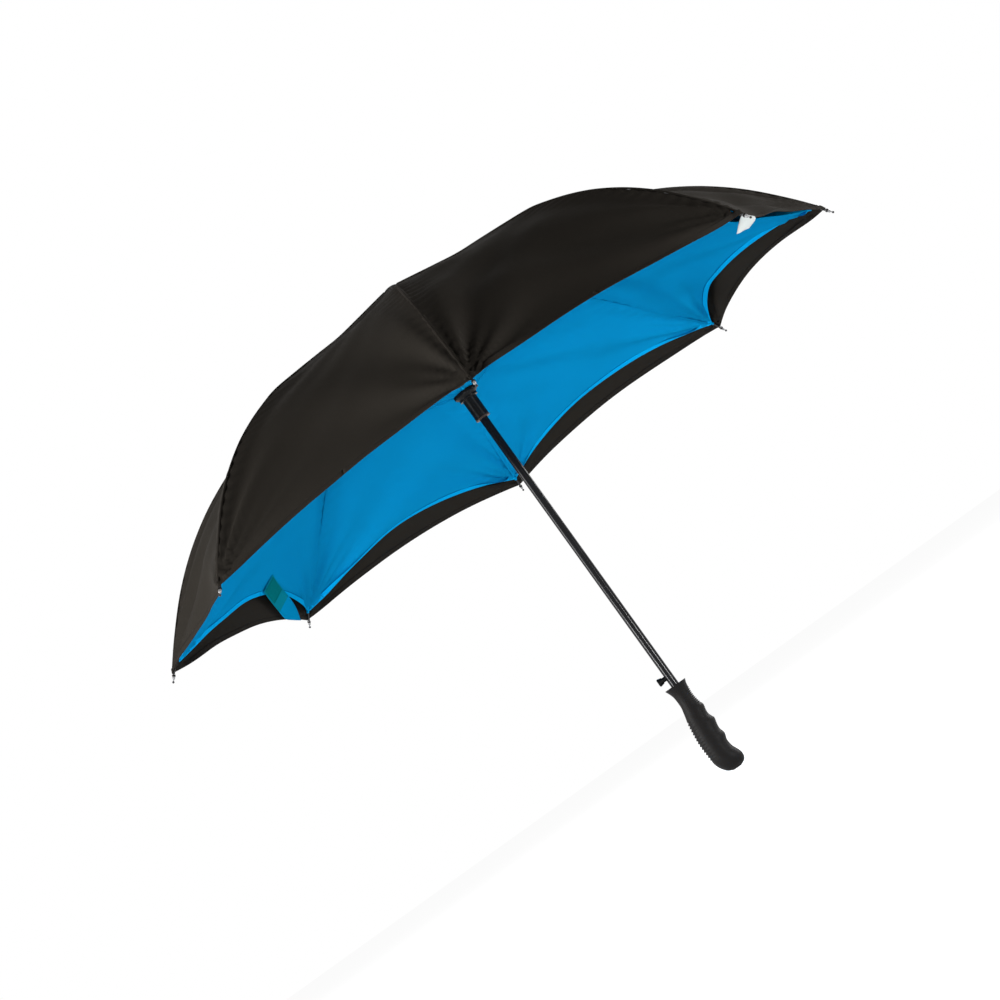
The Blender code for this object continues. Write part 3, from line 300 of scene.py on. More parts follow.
# Rib tips
TIP_LENGTH = 0.0125
TIP_SOCKET_DEPTH = 0.0055
TIP_SLEEVE_RADIUS = 0.0019
TIP_SLEEVE_WALL = 0.0004
TIP_NECK_RADIUS = 0.0008
TIP_BALL_RADIUS = 0.0016
TIP_LINE_SHARE = 0.985
TIP_BALL_REACH_SHARE = 1.02
TIP_NECK_RISE = 0.0014
TIP_SHOULDER = 0.0008
TIP_SLEEVE_START = 0.0006
TIP_ROUND = 0.0005
TIP_SIDES = 28
TIP_BALL_STEPS = 12
TIP_BALL_OPENING = 0.5
THREAD_RADIUS = 0.00028
THREAD_TURNS = 5
THREAD_STEPS_PER_TURN = 14
THREAD_START = 0.0012
THREAD_CLIMB = 0.0022

# Grip
GRIP_LENGTH = 0.133
GRIP_HALF_WIDTH = 0.020
GRIP_HALF_DEPTH = 0.0160
GRIP_TOOTH_COUNT = 13
GRIP_TOOTH_DEPTH = 0.0019
GRIP_FINE_RIB_COUNT = 10
GRIP_FINE_RIB_DEPTH = 0.0007
GRIP_SIDES = 72
GRIP_RINGS = 300
GRIP_BORE_RADIUS = 0.0083
GRIP_END_WALL = 0.0110
GRIP_MOUTH_SHARE = 0.93
GRIP_MOUTH_DEPTH = 0.0012
GRIP_TOOTH_RISE_SHARE = 0.72
GRIP_SHARP_DEGREES = 50
# Outlines of the grip from its top down, as shares of its length and of its half width or half depth
GRIP_BACK_SHARES = (
    (0.0, 0.795), (0.038, 0.680), (0.095, 0.565), (0.158, 0.540), (0.21, 0.545), (0.263, 0.615),
    (0.316, 0.700), (0.376, 0.800), (0.504, 0.925), (0.594, 0.990), (0.677, 1.0), (0.80, 0.965),
    (0.85, 0.935), (0.90, 0.820), (0.947, 0.620), (0.977, 0.420), (1.0, 0.100),
)
GRIP_FINGER_SHARES = (
    (0.0, 0.790), (0.043, 0.680), (0.09, 0.635), (0.15, 0.595), (0.206, 0.615), (0.26, 0.675),
    (0.308, 0.780), (0.365, 0.705), (0.406, 0.690), (0.447, 0.775), (0.474, 0.855), (0.541, 0.755),
    (0.591, 0.725), (0.652, 0.820), (0.71, 0.705), (0.744, 0.690), (0.797, 0.745), (0.85, 0.900),
    (0.90, 1.0), (0.947, 0.960), (0.977, 0.810), (1.0, 0.500),
)
GRIP_SIDE_SHARES = (
    (0.0, 0.960), (0.045, 0.800), (0.10, 0.690), (0.18, 0.670), (0.30, 0.770), (0.45, 0.900),
    (0.65, 0.985), (0.80, 1.0), (0.90, 0.930), (0.96, 0.700), (1.0, 0.330),
)
GRIP_TEETH_SHARES = (0.376, 0.805)
GRIP_FINE_RIB_SHARES = (0.085, 0.275)

# Strap and label
STRAP_WIDTH = 0.027
STRAP_THICKNESS = 0.0012
STRAP_BULGE = 0.0030
PATCH_LENGTH = 0.046
PATCH_MARGIN = 0.002
PATCH_THICKNESS = 0.0010
STRAP_PANEL = 4
STRAP_OUTER_END_SHARES = (1.008, -0.79)
STRAP_INNER_END_SHARES = (0.860, -0.05)
STRAP_HEM_SPAN = (-0.95, -0.60)
STRAP_TURN_SHARE = 0.6
STRAP_STEPS = 40
STRAP_STITCH_SHARE = 0.43
PATCH_STEPS = 14
# Section of the strap and its patch, as shares of half its width and half its thickness
BAND_SHARES = (
    (-1, 0.3), (-0.97, 1), (-0.5, 1), (0, 1), (0.5, 1), (0.97, 1), (1, 0.3),
    (1, -0.3), (0.97, -1), (0.5, -1), (0, -1), (-0.5, -1), (-0.97, -1), (-1, -0.3),
)
LABEL_PANEL = 8
LABEL_WIDTH = 0.0185
LABEL_THICKNESS = 0.0003
LABEL_GATHER_SHARE = 0.30
LABEL_HEM_SHARES = (-0.97, -0.95)
# The label's rows from its sewn end: the middle, and the way across, each as (outwards, sideways, up)
LABEL_MIDDLES = ((0.0, 0.0, 0.0), (0.0004, 0.0015, -0.0071), (-0.0122, -0.0039, -0.0155))
LABEL_WAYS = ((0.601, 0.660, -0.449), (0.340, 0.934, -0.074))
LABEL_CURL = 0.0004
LABEL_CURL_TURNS = 1.3
LABEL_CURL_PHASE = 0.4
LABEL_LOOK_AHEAD = 0.0005
LABEL_ROWS = 20
LABEL_COLUMNS = 12

# Stage. Each lamp is (name, power setting, times that power, place, size, whether the camera sees it)
LAMPS = (
    ("key", "key_power", 1.0, (-3.6, -1.0, 1.25), 2.2, True),
    ("back right", "fill_power", 4.5, (2.9, 1.5, 1.3), 1.2, True),
    ("low right", "fill_power", 1.0, (1.3, -1.3, 0.13), 0.3, False),
    ("low left", "fill_power", 1.0, (-1.7, -1.1, 0.13), 0.3, False),
)
FLOOR_HALF_SIZE = 40
FLOOR_DROP = 0.001
FLOOR_GLOW = 0.86

# Shared effects: scales of their noise, how steeply the wear sets in, and how a tone moves the roughness
SLUB_SCALE = 260.0
DRIFT_SCALE = 9.0
SLOW_SCALE_SHARE = 0.06
WEAR_GAIN = 14.0
TONE_SPAN = (0.3, 0.7)
CLOTH_ROUGHNESS_SWING = 0.06

# Camera of the photograph
CAMERA_PLACE = (-0.08464, -3.07706, 0.03551)
CAMERA_RIGHT = (0.8140996, 0.0574994, -0.5778716)
CAMERA_DOWN = (-0.5805861, 0.1023732, -0.8077373)
CAMERA_FORWARD = (0.0127142, 0.9930829, 0.1167253)
CAMERA_LENS = 84.65
CAMERA_SENSOR_WIDTH = 36


class CanopySettings(bpy.types.PropertyGroup):
    """Colours and sizes of the two canopies."""

    outer_color: bpy.props.FloatVectorProperty(
        name="Outer cloth", description="Colour of the outer canopy",
        subtype="COLOR", size=4, default=(0.0195, 0.0172, 0.0145, 1), min=0, max=1)
    inner_color: bpy.props.FloatVectorProperty(
        name="Inner cloth", description="Colour of the inner canopy",
        subtype="COLOR", size=4, default=(0.0020, 0.236, 0.500, 1), min=0, max=1)
    hem_color: bpy.props.FloatVectorProperty(
        name="Inner hem", description="Colour of the inner canopy's folded hem",
        subtype="COLOR", size=4, default=(0.0015, 0.360, 0.760, 1), min=0, max=1)
    crease_share: bpy.props.FloatProperty(
        name="Creases", description="Depth of the creases, where 1 is as photographed",
        subtype="FACTOR", default=1.0, min=0, max=2)
    stitch_pitch: bpy.props.FloatProperty(
        name="Stitch pitch", description="Distance from stitch to stitch",
        subtype="DISTANCE", unit="LENGTH", default=STITCH_PITCH, min=0.001, max=0.02)


class FittingSettings(bpy.types.PropertyGroup):
    """Colours of the shaft, the fittings and the grip."""

    lacquer_color: bpy.props.FloatVectorProperty(
        name="Lacquer", description="Colour of the shaft's lacquer",
        subtype="COLOR", size=4, default=(0.006, 0.006, 0.007, 1), min=0, max=1)
    rubber_color: bpy.props.FloatVectorProperty(
        name="Rubber", description="Colour of the grip's rubber",
        subtype="COLOR", size=4, default=(0.010, 0.009, 0.0085, 1), min=0, max=1)
    steel_color: bpy.props.FloatVectorProperty(
        name="Steel", description="Colour of the ribs, struts and tips",
        subtype="COLOR", size=4, default=(0.27, 0.27, 0.275, 1), min=0, max=1)
    label_color: bpy.props.FloatVectorProperty(
        name="Label", description="Colour of the bare sewn-in label",
        subtype="COLOR", size=4, default=(0.62, 0.66, 0.65, 1), min=0, max=1)


class StageSettings(bpy.types.PropertyGroup):
    """Lamps and floor."""

    key_power: bpy.props.FloatProperty(
        name="Key lamp", description="Power of the large lamp on the left",
        unit="POWER", default=155.0, min=0)
    fill_power: bpy.props.FloatProperty(
        name="Low lamps", description="Power of each low lamp, and the measure for the lamp at the back",
        unit="POWER", default=17.0, min=0)
    ambient: bpy.props.FloatProperty(
        name="Ambient", description="Strength of the room's own light",
        subtype="FACTOR", default=0.13, min=0, max=2)
    floor_color: bpy.props.FloatVectorProperty(
        name="Floor", description="Colour of the floor",
        subtype="COLOR", size=4, default=(0.80, 0.80, 0.80, 1), min=0, max=1)


# Curves and seams


def smooth_at(points, marks, mark):
    """A smooth curve through points, read at a mark."""
    points = np.asarray(points, float)
    marks = np.asarray(marks, float)
    mark = np.clip(mark, marks[0], marks[-1])
    low = np.maximum(np.arange(len(marks)) - 1, 0)
    high = np.minimum(np.arange(len(marks)) + 1, len(marks) - 1)
    slope = ((points[high] - points[low]).T / (marks[high] - marks[low])).T
    k = np.clip(np.searchsorted(marks, mark, side="right") - 1, 0, len(marks) - 2)
    span = marks[k + 1] - marks[k]
    x = (mark - marks[k]) / span
    if points.ndim == 2:
        x = x[..., None]
        span = span[..., None]
    rest = 1 - x
    return (
        points[k] * rest * rest * (1 + 2 * x) + slope[k] * span * x * rest * rest
        + points[k + 1] * x * x * (3 - 2 * x) - slope[k + 1] * span * x * x * rest
    )


def unit(vectors):
    """Vectors of the same directions, each of length 1."""
    return vectors / np.linalg.norm(vectors, axis=-1, keepdims=True)


def arc_lengths(line):
    """Distance along a line up to each of its points."""
    return np.concatenate([[0], np.cumsum(np.linalg.norm(np.diff(line, axis=0), axis=1))])


def read_along(where, marks, values):
    """Points or directions given at marks, read at places between them."""
    return np.stack([np.interp(where, marks, values[:, c]) for c in range(3)], axis=-1)


def circle(radius, count):
    """Points round a circle, from its +X side."""
    angles = [2 * math.pi * i / count for i in range(count)]
    return [(radius * math.cos(a), radius * math.sin(a)) for a in angles]


def table_at(shares, where):
    """A smooth reading of a table of shares."""
    return smooth_at([s[1] for s in shares], [s[0] for s in shares], np.asarray(where, float))


def seam_line(hub, clamp, corners, rows):
    """The (r, z) line of a seam: flat from the hub to past its clamp, then through the corners.

    Its samples are even in share, where each of the rows takes the same share of the line.
    """
    flat = (clamp + GAP) / math.cos(HALF_PANEL)
    points = np.array([(flat, hub[1])] + corners)
    marks = arc_lengths(points)
    share = np.linspace(0, 1, SEAM_SAMPLES)
    on_curve = np.clip((share * rows - 1) / (rows - 1), 0, 1) * marks[-1]
    line = smooth_at(points, marks, on_curve)
    start = share * rows < 1
    blend = (share * rows)[start, None]
    line[start] = np.array(hub) * (1 - blend) + points[0] * blend
    return line


def outer_corners():
    """Corners of the outer seam: over the strut, then from the pin down to the rim."""
    corners = []
    for reach, lift in STRUT_LIFT_SHARES:
        arm = CROWN_PIVOT.lerp(PIN, reach)
        corners.append((arm.x, arm.z + lift * FABRIC_OVER_PIN))
    top = PIN.z + FABRIC_OVER_PIN
    for reach, height in OUTER_FALL_SHARES:
        corners.append((PIN.x + reach * (CANOPY_RADIUS - PIN.x), RIM_Z + height * (top - RIM_Z)))
    return corners


def inner_corners(outer_line):
    """Corners of the inner seam: under the rib's inner arm, then out to its corner below the outer canopy."""
    corners = []
    for reach, drop in INNER_TIE_SHARES:
        arm = RUNNER_PIVOT.lerp(PIN, reach)
        corners.append((arm.x, arm.z - drop * INNER_TIE_DROP))
    for reach, height in INNER_FALL_SHARES:
        corners.append((PIN.x + reach * (CANOPY_RADIUS - PIN.x), RIM_Z + height * (PIN.z - RIM_Z)))
    corner = outer_line[int(INNER_CORNER_SHARE * (len(outer_line) - 1))]
    ahead = unit(outer_line[-1] - outer_line[-RIM_LOOK_BACK])
    normal = np.array((-ahead[1], ahead[0]))
    corners.append(tuple(corner - normal * (2 * RIB_DROP + GAP)))
    return corners


class Canopy:
    """One canopy: its seam over a rib, how its panels hang between the ribs, and what it is made of."""

    def __init__(self, name, line, recess, sag, seed, face, gather, hem_width, hem_cloth, hem_faces, thread):
        self.name = name
        self.cloth = f"{name} cloth"
        self.slot = f"{name}_fabric"
        self.line = line
        self.sag = sag
        self.seed = seed
        self.face = face
        self.gather = gather
        self.hem_width = hem_width
        self.hem_cloth = hem_cloth
        self.hem_faces = hem_faces
        self.thread = thread
        self.arc = arc_lengths(line)
        self.length = self.arc[-1]
        self.recess_share = recess / self.length
        self.shares = np.linspace(0, 1, len(line))

    def corner(self, rib):
        """Where the canopy's corner lies on a rib."""
        r, z = self.line[-1]
        return rib_turn(rib) @ Vector((r, 0, z))

    def seam(self, share):
        """The seam's (r, z) at a share of its length, and straight on past its end."""
        beyond = np.maximum(np.asarray(share, float) - 1, 0) * (len(self.line) - 1)
        step = self.line[-1] - self.line[-2]
        return tuple(np.interp(share, self.shares, self.line[:, c]) + step[c] * beyond for c in (0, 1))

    def reach(self, across):
        """How far along its length a panel reaches: the hem is drawn in between the ribs."""
        return 1 - self.recess_share * (1 - across * across)

    def creases(self, panel, share, across):
        """Height of the creases over the taut cloth, which fade out at the seams."""
        draw = np.random.default_rng(self.seed + panel)
        r = self.seam(share)[0]
        chord = r * math.sin(HALF_PANEL)
        height = np.zeros_like(share)
        for end in (-1, 1):
            aside = (1 - end * across) * chord
            down = (1 - share) * self.length
            away = np.hypot(aside, down)
            angle = np.arctan2(aside, down)
            onset = np.clip(angle / FAN_ONSET_ANGLE, 0, 1) ** 2
            frequencies = [draw.uniform(*fan[2]) for fan in FANS]
            for (depth, reach, _), frequency in zip(FANS, frequencies):
                swell = (away / reach) ** FAN_SWELL * np.exp(FAN_SWELL * (1 - away / reach))
                phase, wobble_phase = draw.uniform(*PHASES), draw.uniform(*PHASES)
                wobble = FAN_WOBBLE_DEPTH * np.sin(FAN_WOBBLE_FREQUENCY * angle + wobble_phase)
                folds = np.sin(frequency * angle + phase + wobble)
                height += depth * draw.uniform(*FAN_DEPTH_SHARES) * onset * swell * folds
        fade = np.maximum(1 - across * across, 0) ** FADE_POWER
        for _ in range(SOFT_WAVE_COUNT):
            along, aside = draw.uniform(*SOFT_WAVE_TURNS_ALONG), draw.uniform(*SOFT_WAVE_TURNS_ACROSS)
            wave = np.sin(along * share * 2 * math.pi + aside * across * math.pi + draw.uniform(*PHASES))
            height += SOFT_WAVE_DEPTH / SOFT_WAVE_COUNT * fade * wave * np.clip(share * SOFT_WAVE_ONSET, 0, 1)
        for end in (-1, 1):
            aside = (1 - end * across) * chord
            along = 2 * math.pi * share * self.length / PUCKER_PITCH
            pucker = np.sin(along + aside / PUCKER_REACH + draw.uniform(*PHASES))
            onset = np.clip(aside / PUCKER_ONSET, 0, 1)
            rise = np.clip(share * PUCKER_RISE - 1, 0, 1)
            height += PUCKER_DEPTH * pucker * onset * np.exp(-aside / PUCKER_REACH) * rise
        gather = np.exp(-((r / CROWN_GATHER_REACH) ** 2)) * fade
        folds = np.sin(CROWN_GATHER_FOLDS * math.pi * across + draw.uniform(*PHASES))
        height += CROWN_GATHER_DEPTH * gather * folds
        return height * bpy.context.scene.umbrella_canopy.crease_share

    def points(self, panel, along, across, creased=True):
        """Points of a panel: along runs from the hub (0) to the hem (1), across from seam to seam (-1 to 1)."""
        along = np.asarray(along, float)
        across = np.asarray(across, float)
        share = along * self.reach(across)
        r, z = self.seam(share)
        chord = r * math.sin(HALF_PANEL)
        low = np.stack(self.seam(np.maximum(share - SEAM_LOOK_SHARE, 0)))
        high = np.stack(self.seam(np.minimum(share + SEAM_LOOK_SHARE, 1)))
        ahead = (high - low) / np.linalg.norm(high - low, axis=0)
        sag = self.sag * 2 * chord * (1 - across**2) * np.minimum(share * SAG_ONSET, 1)
        if creased:
            sag = sag - self.creases(panel, share, across)
        out = r * math.cos(HALF_PANEL) + ahead[1] * sag
        up = z - ahead[0] * sag
        side = chord * across
        turn = (panel - 1) * PANEL_ANGLE + HALF_PANEL
        return np.stack([
            out * math.cos(turn) - side * math.sin(turn),
            out * math.sin(turn) + side * math.cos(turn),
            up,
        ], axis=-1)

    def normals(self, panel, along, across):
        """Outward normals of a panel."""
        step = 0.004
        ahead = self.points(panel, along + step, across) - self.points(panel, along - step, across)
        aside = self.points(panel, along, across + step) - self.points(panel, along, across - step)
        return unit(np.cross(ahead, aside))


OUTER_LINE = seam_line((CANOPY_HUB_RADIUS, CROWN_TOP_Z + GAP + FABRIC_THICKNESS / 2), CROWN_CLAMP_RADIUS,
                       outer_corners(), OUTER_SEAM_ROWS)
INNER_LINE = seam_line((INNER_HUB_RADIUS, FLANGE_TOP_Z + GAP + FABRIC_THICKNESS / 2), RUNNER_CLAMP_RADIUS,
                       inner_corners(OUTER_LINE), INNER_SEAM_ROWS)
OUTER = Canopy("outer", OUTER_LINE, OUTER_HEM_RECESS, OUTER_SAG_SHARE, seed=31, face=1, gather=OUTER_GATHER,
               hem_width=OUTER_HEM_WIDTH, hem_cloth="outer cloth", hem_faces=(1, -1), thread="black thread")
INNER = Canopy("inner", INNER_LINE, INNER_HEM_RECESS, INNER_SAG_SHARE, seed=77, face=-1, gather=INNER_GATHER,
               hem_width=INNER_HEM_WIDTH, hem_cloth="inner hem", hem_faces=(-1,), thread="cyan thread")


# Meshes


def grid_faces(rows, wide, closed=False, flip=False):
    """Faces of a grid of points, row by row. Each row may close to a ring, and flip turns the faces over."""
    faces = []
    for row in range(rows):
        for column in range(wide if closed else wide - 1):
            a, b = row * wide + column, row * wide + (column + 1) % wide
            faces.append((a, b, b + wide, a + wide) if flip else (a, a + wide, b + wide, b))
    return faces


class Gathered:
    """Points and faces of one piece while it is put together."""

    def __init__(self, points=(), faces=()):
        self.points = []
        self.faces = []
        self.marks = []
        self.add(points, faces, [0] * len(faces))

    def add(self, points, faces, marks):
        """Add points and faces, each face with the number of its material."""
        start = len(self.points)
        self.points.extend(tuple(p) for p in points)
        self.faces.extend(tuple(start + i for i in face) for face in faces)
        self.marks.extend(marks)

    def sweep(self, middles, asides, ups, outline, marked=()):
        """A closed outline carried along a line, with filled ends.

        The outline's sides in marked take the piece's second material.
        """
        count, stations = len(outline), len(middles)
        points = []
        for middle, aside, up in zip(middles, asides, ups):
            points.extend(middle + aside * a + up * b for a, b in outline)
        faces = grid_faces(stations - 1, count, closed=True, flip=True)
        faces.append(tuple(range(count))[::-1])
        faces.append(tuple((stations - 1) * count + j for j in range(count)))
        self.add(points, faces, [int(j in marked) for j in range(count)] * (stations - 1) + [0, 0])

    def stitches(self, line, normals, lift):
        """A row of stitches in the second material, on the side of a line that the normals point to."""
        pitch = bpy.context.scene.umbrella_canopy.stitch_pitch
        marks = arc_lengths(line)
        faces = [(0, 2, 4), (2, 1, 4), (1, 3, 4), (3, 0, 4), (2, 0, 5), (1, 2, 5), (3, 1, 5), (0, 3, 5)]
        for i in range(int(marks[-1] / pitch)):
            places = np.array([(i + 0.5) * pitch - STITCH_LENGTH / 2, (i + 0.5) * pitch + STITCH_LENGTH / 2])
            ends = read_along(places, marks, line)
            normal = read_along(places.mean(), marks, normals)
            middle = ends.mean(axis=0) + normal * lift
            ahead = ends[1] - ends[0]
            aside = unit(np.cross(normal, ahead)) * STITCH_WIDTH / 2
            self.add([
                middle - ahead / 2, middle + ahead / 2, middle + aside, middle - aside,
                middle + normal * STITCH_HEIGHT, middle - normal * STITCH_HEIGHT,
            ], faces, [1] * len(faces))


def made(name, gathered, looks, closed=True, flat_places=None):
    """Link a piece made from gathered points and faces, smooth, with its materials."""
    mesh = bpy.data.meshes.new(name)
    mesh.from_pydata(gathered.points, [], gathered.faces)
    mesh.polygons.foreach_set("material_index", gathered.marks)
    if flat_places is not None:
        layer = mesh.uv_layers.new(name="flat")
        corners = np.zeros(len(mesh.loops), int)
        mesh.loops.foreach_get("vertex_index", corners)
        layer.data.foreach_set("uv", np.asarray(flat_places, np.float32)[corners].ravel())
    if closed:
        work = bmesh.new()
        work.from_mesh(mesh)
        bmesh.ops.recalc_face_normals(work, faces=work.faces)
        work.to_mesh(mesh)
        work.free()
    mesh.shade_smooth()
    obj = bpy.data.objects.new(name, mesh)
    bpy.context.scene.collection.objects.link(obj)
    for words in looks:
        mesh.materials.append(look(words))
    return obj


def stand_for(obj, body, node):
    """Let a piece ride on a body, in place of a node of the frame."""
    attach(obj, body)
    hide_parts(node)


def sharpened(obj, degrees=38):
    obj.data.set_sharp_from_angle(angle=math.radians(degrees))
    return obj


def turned(name, profile, looks, matrix=None, steps=TURN_STEPS, closed=False):
    """A turned piece: a profile of (r, z) points round the Z axis, closed to a ring or ending on the axis."""
    points, faces, rows = [], [], []
    for r, z in profile:
        start = len(points)
        if r < ON_AXIS:
            points.append((0, 0, z))
            rows.append([start] * steps)
        else:
            points.extend((x, y, z) for x, y in circle(r, steps))
            rows.append(list(range(start, start + steps)))
    for upper, lower in zip(rows, rows[1:] + rows[:1] if closed else rows[1:]):
        for i in range(steps):
            j = (i + 1) % steps
            faces.append(tuple(dict.fromkeys((upper[i], lower[i], lower[j], upper[j]))))
    obj = made(name, Gathered(points, faces), looks)
    if matrix is not None:
        obj.data.transform(matrix)
    return sharpened(obj)


def coil(radius, wire, turns, per_turn, start, climb):
    """A wire wound round the Z axis that climbs from a start."""
    count = turns * per_turn
    places = []
    for i in range(count + 1):
        angle = 2 * math.pi * i / per_turn
        places.append((radius * math.cos(angle), radius * math.sin(angle), start + climb * i / count))
    line = np.array(places)
    out = unit(line * np.array((1, 1, 0)))
    wound = Gathered()
    wound.sweep(line, out, np.cross(unit(np.gradient(line, axis=0)), out), circle(wire, WIRE_SIDES))
    return wound


def rounded(profile, radius, steps=3):
    """A profile with its corners rounded, except its first and last points."""
    points = [Vector(p) for p in profile]
    found = [profile[0]]
    for before, here, after in zip(points, points[1:], points[2:]):
        back, ahead = before - here, after - here
        reach = min(radius, back.length / ROUND_LIMIT, ahead.length / ROUND_LIMIT)
        start, end = here + back.normalized() * reach, here + ahead.normalized() * reach
        for i in range(steps + 1):
            x = i / steps
            found.append(tuple(start * (1 - x) ** 2 + here * (2 * x * (1 - x)) + end * x * x))
    found.append(profile[-1])
    return found


def rib_turn(rib):
    """The turn about the shaft that takes rib 1, at +X, to another rib."""
    return Matrix.Rotation((rib - 1) * PANEL_ANGLE, 4, "Z")


def along_axis(axis, centre):
    turn = Vector((0, 0, 1)).rotation_difference(Vector(axis)).to_matrix().to_4x4()
    return Matrix.Translation(Vector(centre)) @ turn


# Materials


def node_group(name, inputs, outputs):
    """A new shader node group with its named sockets and its input and output nodes."""
    group = bpy.data.node_groups.new(name, "ShaderNodeTree")
    for socket, default in inputs:
        made_socket = group.interface.new_socket(socket, in_out="INPUT", socket_type="NodeSocketFloat")
        made_socket.default_value = default
    for socket in outputs:
        group.interface.new_socket(socket, in_out="OUTPUT", socket_type="NodeSocketFloat")
    return group, group.nodes.new("NodeGroupInput"), group.nodes.new("NodeGroupOutput")


def math_node(tree, operation, a, b=None):
    node = tree.nodes.new("ShaderNodeMath")
    node.operation = operation
    for socket, value in zip(node.inputs, (a, b)):
        if value is None:
            continue
        if isinstance(value, (int, float)):
            socket.default_value = value
        else:
            tree.links.new(value, socket)
    return node.outputs[0]


def noise_node(tree, vector, scale, detail=3.0, roughness=0.55):
    node = tree.nodes.new("ShaderNodeTexNoise")
    node.inputs["Detail"].default_value = detail
    node.inputs["Roughness"].default_value = roughness
    if isinstance(scale, (int, float)):
        node.inputs["Scale"].default_value = scale
    else:
        tree.links.new(scale, node.inputs["Scale"])
    tree.links.new(vector, node.inputs["Vector"])
    return node.outputs["Fac"]


def weave_group():
    """Plain weave on the cloth's flat cut: thread height, and a tone that drifts from thread to thread."""
    group, given, result = node_group("Plain weave", [("Threads per metre", 1500.0), ("Slub", 0.5)],
                                      ["Height", "Tone"])
    place = group.nodes.new("ShaderNodeTexCoord")
    split = group.nodes.new("ShaderNodeSeparateXYZ")
    group.links.new(place.outputs["UV"], split.inputs[0])
    turns = math_node(group, "MULTIPLY", given.outputs["Threads per metre"], math.pi)
    warp = math_node(group, "SINE", math_node(group, "MULTIPLY", split.outputs["X"], turns))
    weft = math_node(group, "SINE", math_node(group, "MULTIPLY", split.outputs["Y"], turns))
    checks = math_node(group, "MULTIPLY", warp, weft)
    coarse = noise_node(group, place.outputs["UV"], SLUB_SCALE)
    slub = math_node(group, "MULTIPLY", coarse, given.outputs["Slub"])
    group.links.new(math_node(group, "ADD", checks, slub), result.inputs["Height"])
    group.links.new(noise_node(group, place.outputs["UV"], DRIFT_SCALE, 4.0), result.inputs["Tone"])
    return group


def grain_group():
    """Moulded grain and handling marks: a fine height and a slow tone."""
    group, given, result = node_group("Grain", [("Scale", 900.0)], ["Height", "Tone"])
    place = group.nodes.new("ShaderNodeTexCoord")
    fine = noise_node(group, place.outputs["Object"], given.outputs["Scale"], 2.0, 0.6)
    group.links.new(fine, result.inputs["Height"])
    slow = math_node(group, "MULTIPLY", given.outputs["Scale"], SLOW_SCALE_SHARE)
    group.links.new(noise_node(group, place.outputs["Object"], slow, 4.0), result.inputs["Tone"])
    return group


def wear_group():
    """A mask of rubbed edges: high on sharp edges, broken up by noise."""
    group, given, result = node_group("Edge wear", [("Reach", 0.54), ("Breakup", 120.0)], ["Mask"])
    geometry = group.nodes.new("ShaderNodeNewGeometry")
    place = group.nodes.new("ShaderNodeTexCoord")
    above = math_node(group, "SUBTRACT", geometry.outputs["Pointiness"], given.outputs["Reach"])
    sharp = group.nodes.new("ShaderNodeClamp")
    group.links.new(math_node(group, "MULTIPLY", above, WEAR_GAIN), sharp.inputs["Value"])
    broken = noise_node(group, place.outputs["Object"], given.outputs["Breakup"], 3.0)
    group.links.new(math_node(group, "MULTIPLY", sharp.outputs[0], broken), result.inputs["Mask"])
    return group


SHARED = {}


def shared(name):
    """The shared effect of that name, built once."""
    if name not in SHARED:
        SHARED[name] = {"weave": weave_group, "grain": grain_group, "wear": wear_group}[name]()
    return SHARED[name]


class Finish:
    """One material: a Principled shader, and the shared effects that vary over its surface."""

    def __init__(self, name, color, roughness, metallic=0.0, **plain):
        self.material = bpy.data.materials.new(name)
        self.material.use_nodes = True
        self.tree = self.material.node_tree
        self.shader = self.tree.nodes["Principled BSDF"]
        self.shader.inputs["Base Color"].default_value = color
        self.shader.inputs["Roughness"].default_value = roughness
        self.shader.inputs["Metallic"].default_value = metallic
        for socket, value in plain.items():
            self.shader.inputs[socket.replace("_", " ")].default_value = value
        self.color = tuple(color)

    def effect(self, name, **values):
        node = self.tree.nodes.new("ShaderNodeGroup")
        node.node_tree = shared(name)
        for socket, value in values.items():
            node.inputs[socket.replace("_", " ")].default_value = value
        return node

    def blend_color(self, mask, other):
        """Colour that goes over to another where the mask is high."""
        mix = self.tree.nodes.new("ShaderNodeMix")
        mix.data_type = "RGBA"
        self.tree.links.new(mask, mix.inputs["Factor"])
        mix.inputs["A"].default_value = self.color
        mix.inputs["B"].default_value = other
        self.tree.links.new(mix.outputs["Result"], self.shader.inputs["Base Color"])

    def spread(self, value, low, high):
        """Roughness that runs from low to high with a value."""
        ramp = self.tree.nodes.new("ShaderNodeMapRange")
        for socket, level in zip(("From Min", "From Max", "To Min", "To Max"), (*TONE_SPAN, low, high)):
            ramp.inputs[socket].default_value = level
        self.tree.links.new(value, ramp.inputs["Value"])
        self.tree.links.new(ramp.outputs["Result"], self.shader.inputs["Roughness"])

    def bump(self, height, distance, strength):
        node = self.tree.nodes.new("ShaderNodeBump")
        node.inputs["Distance"].default_value = distance
        node.inputs["Strength"].default_value = strength
        self.tree.links.new(height, node.inputs["Height"])
        self.tree.links.new(node.outputs["Normal"], self.shader.inputs["Normal"])


def woven(color, other, roughness, threads, depth, **plain):
    """Recipe of a plain-woven cloth, whose roughness swings to either side of a middle."""
    return {
        "color": color, "other": other, "roughness": 0.6,
        "spread": (roughness - CLOTH_ROUGHNESS_SWING, roughness + CLOTH_ROUGHNESS_SWING),
        "weave": (threads, 0.8), "bump": (depth, 0.6), "Specular_IOR_Level": 0.0, **plain,
    }


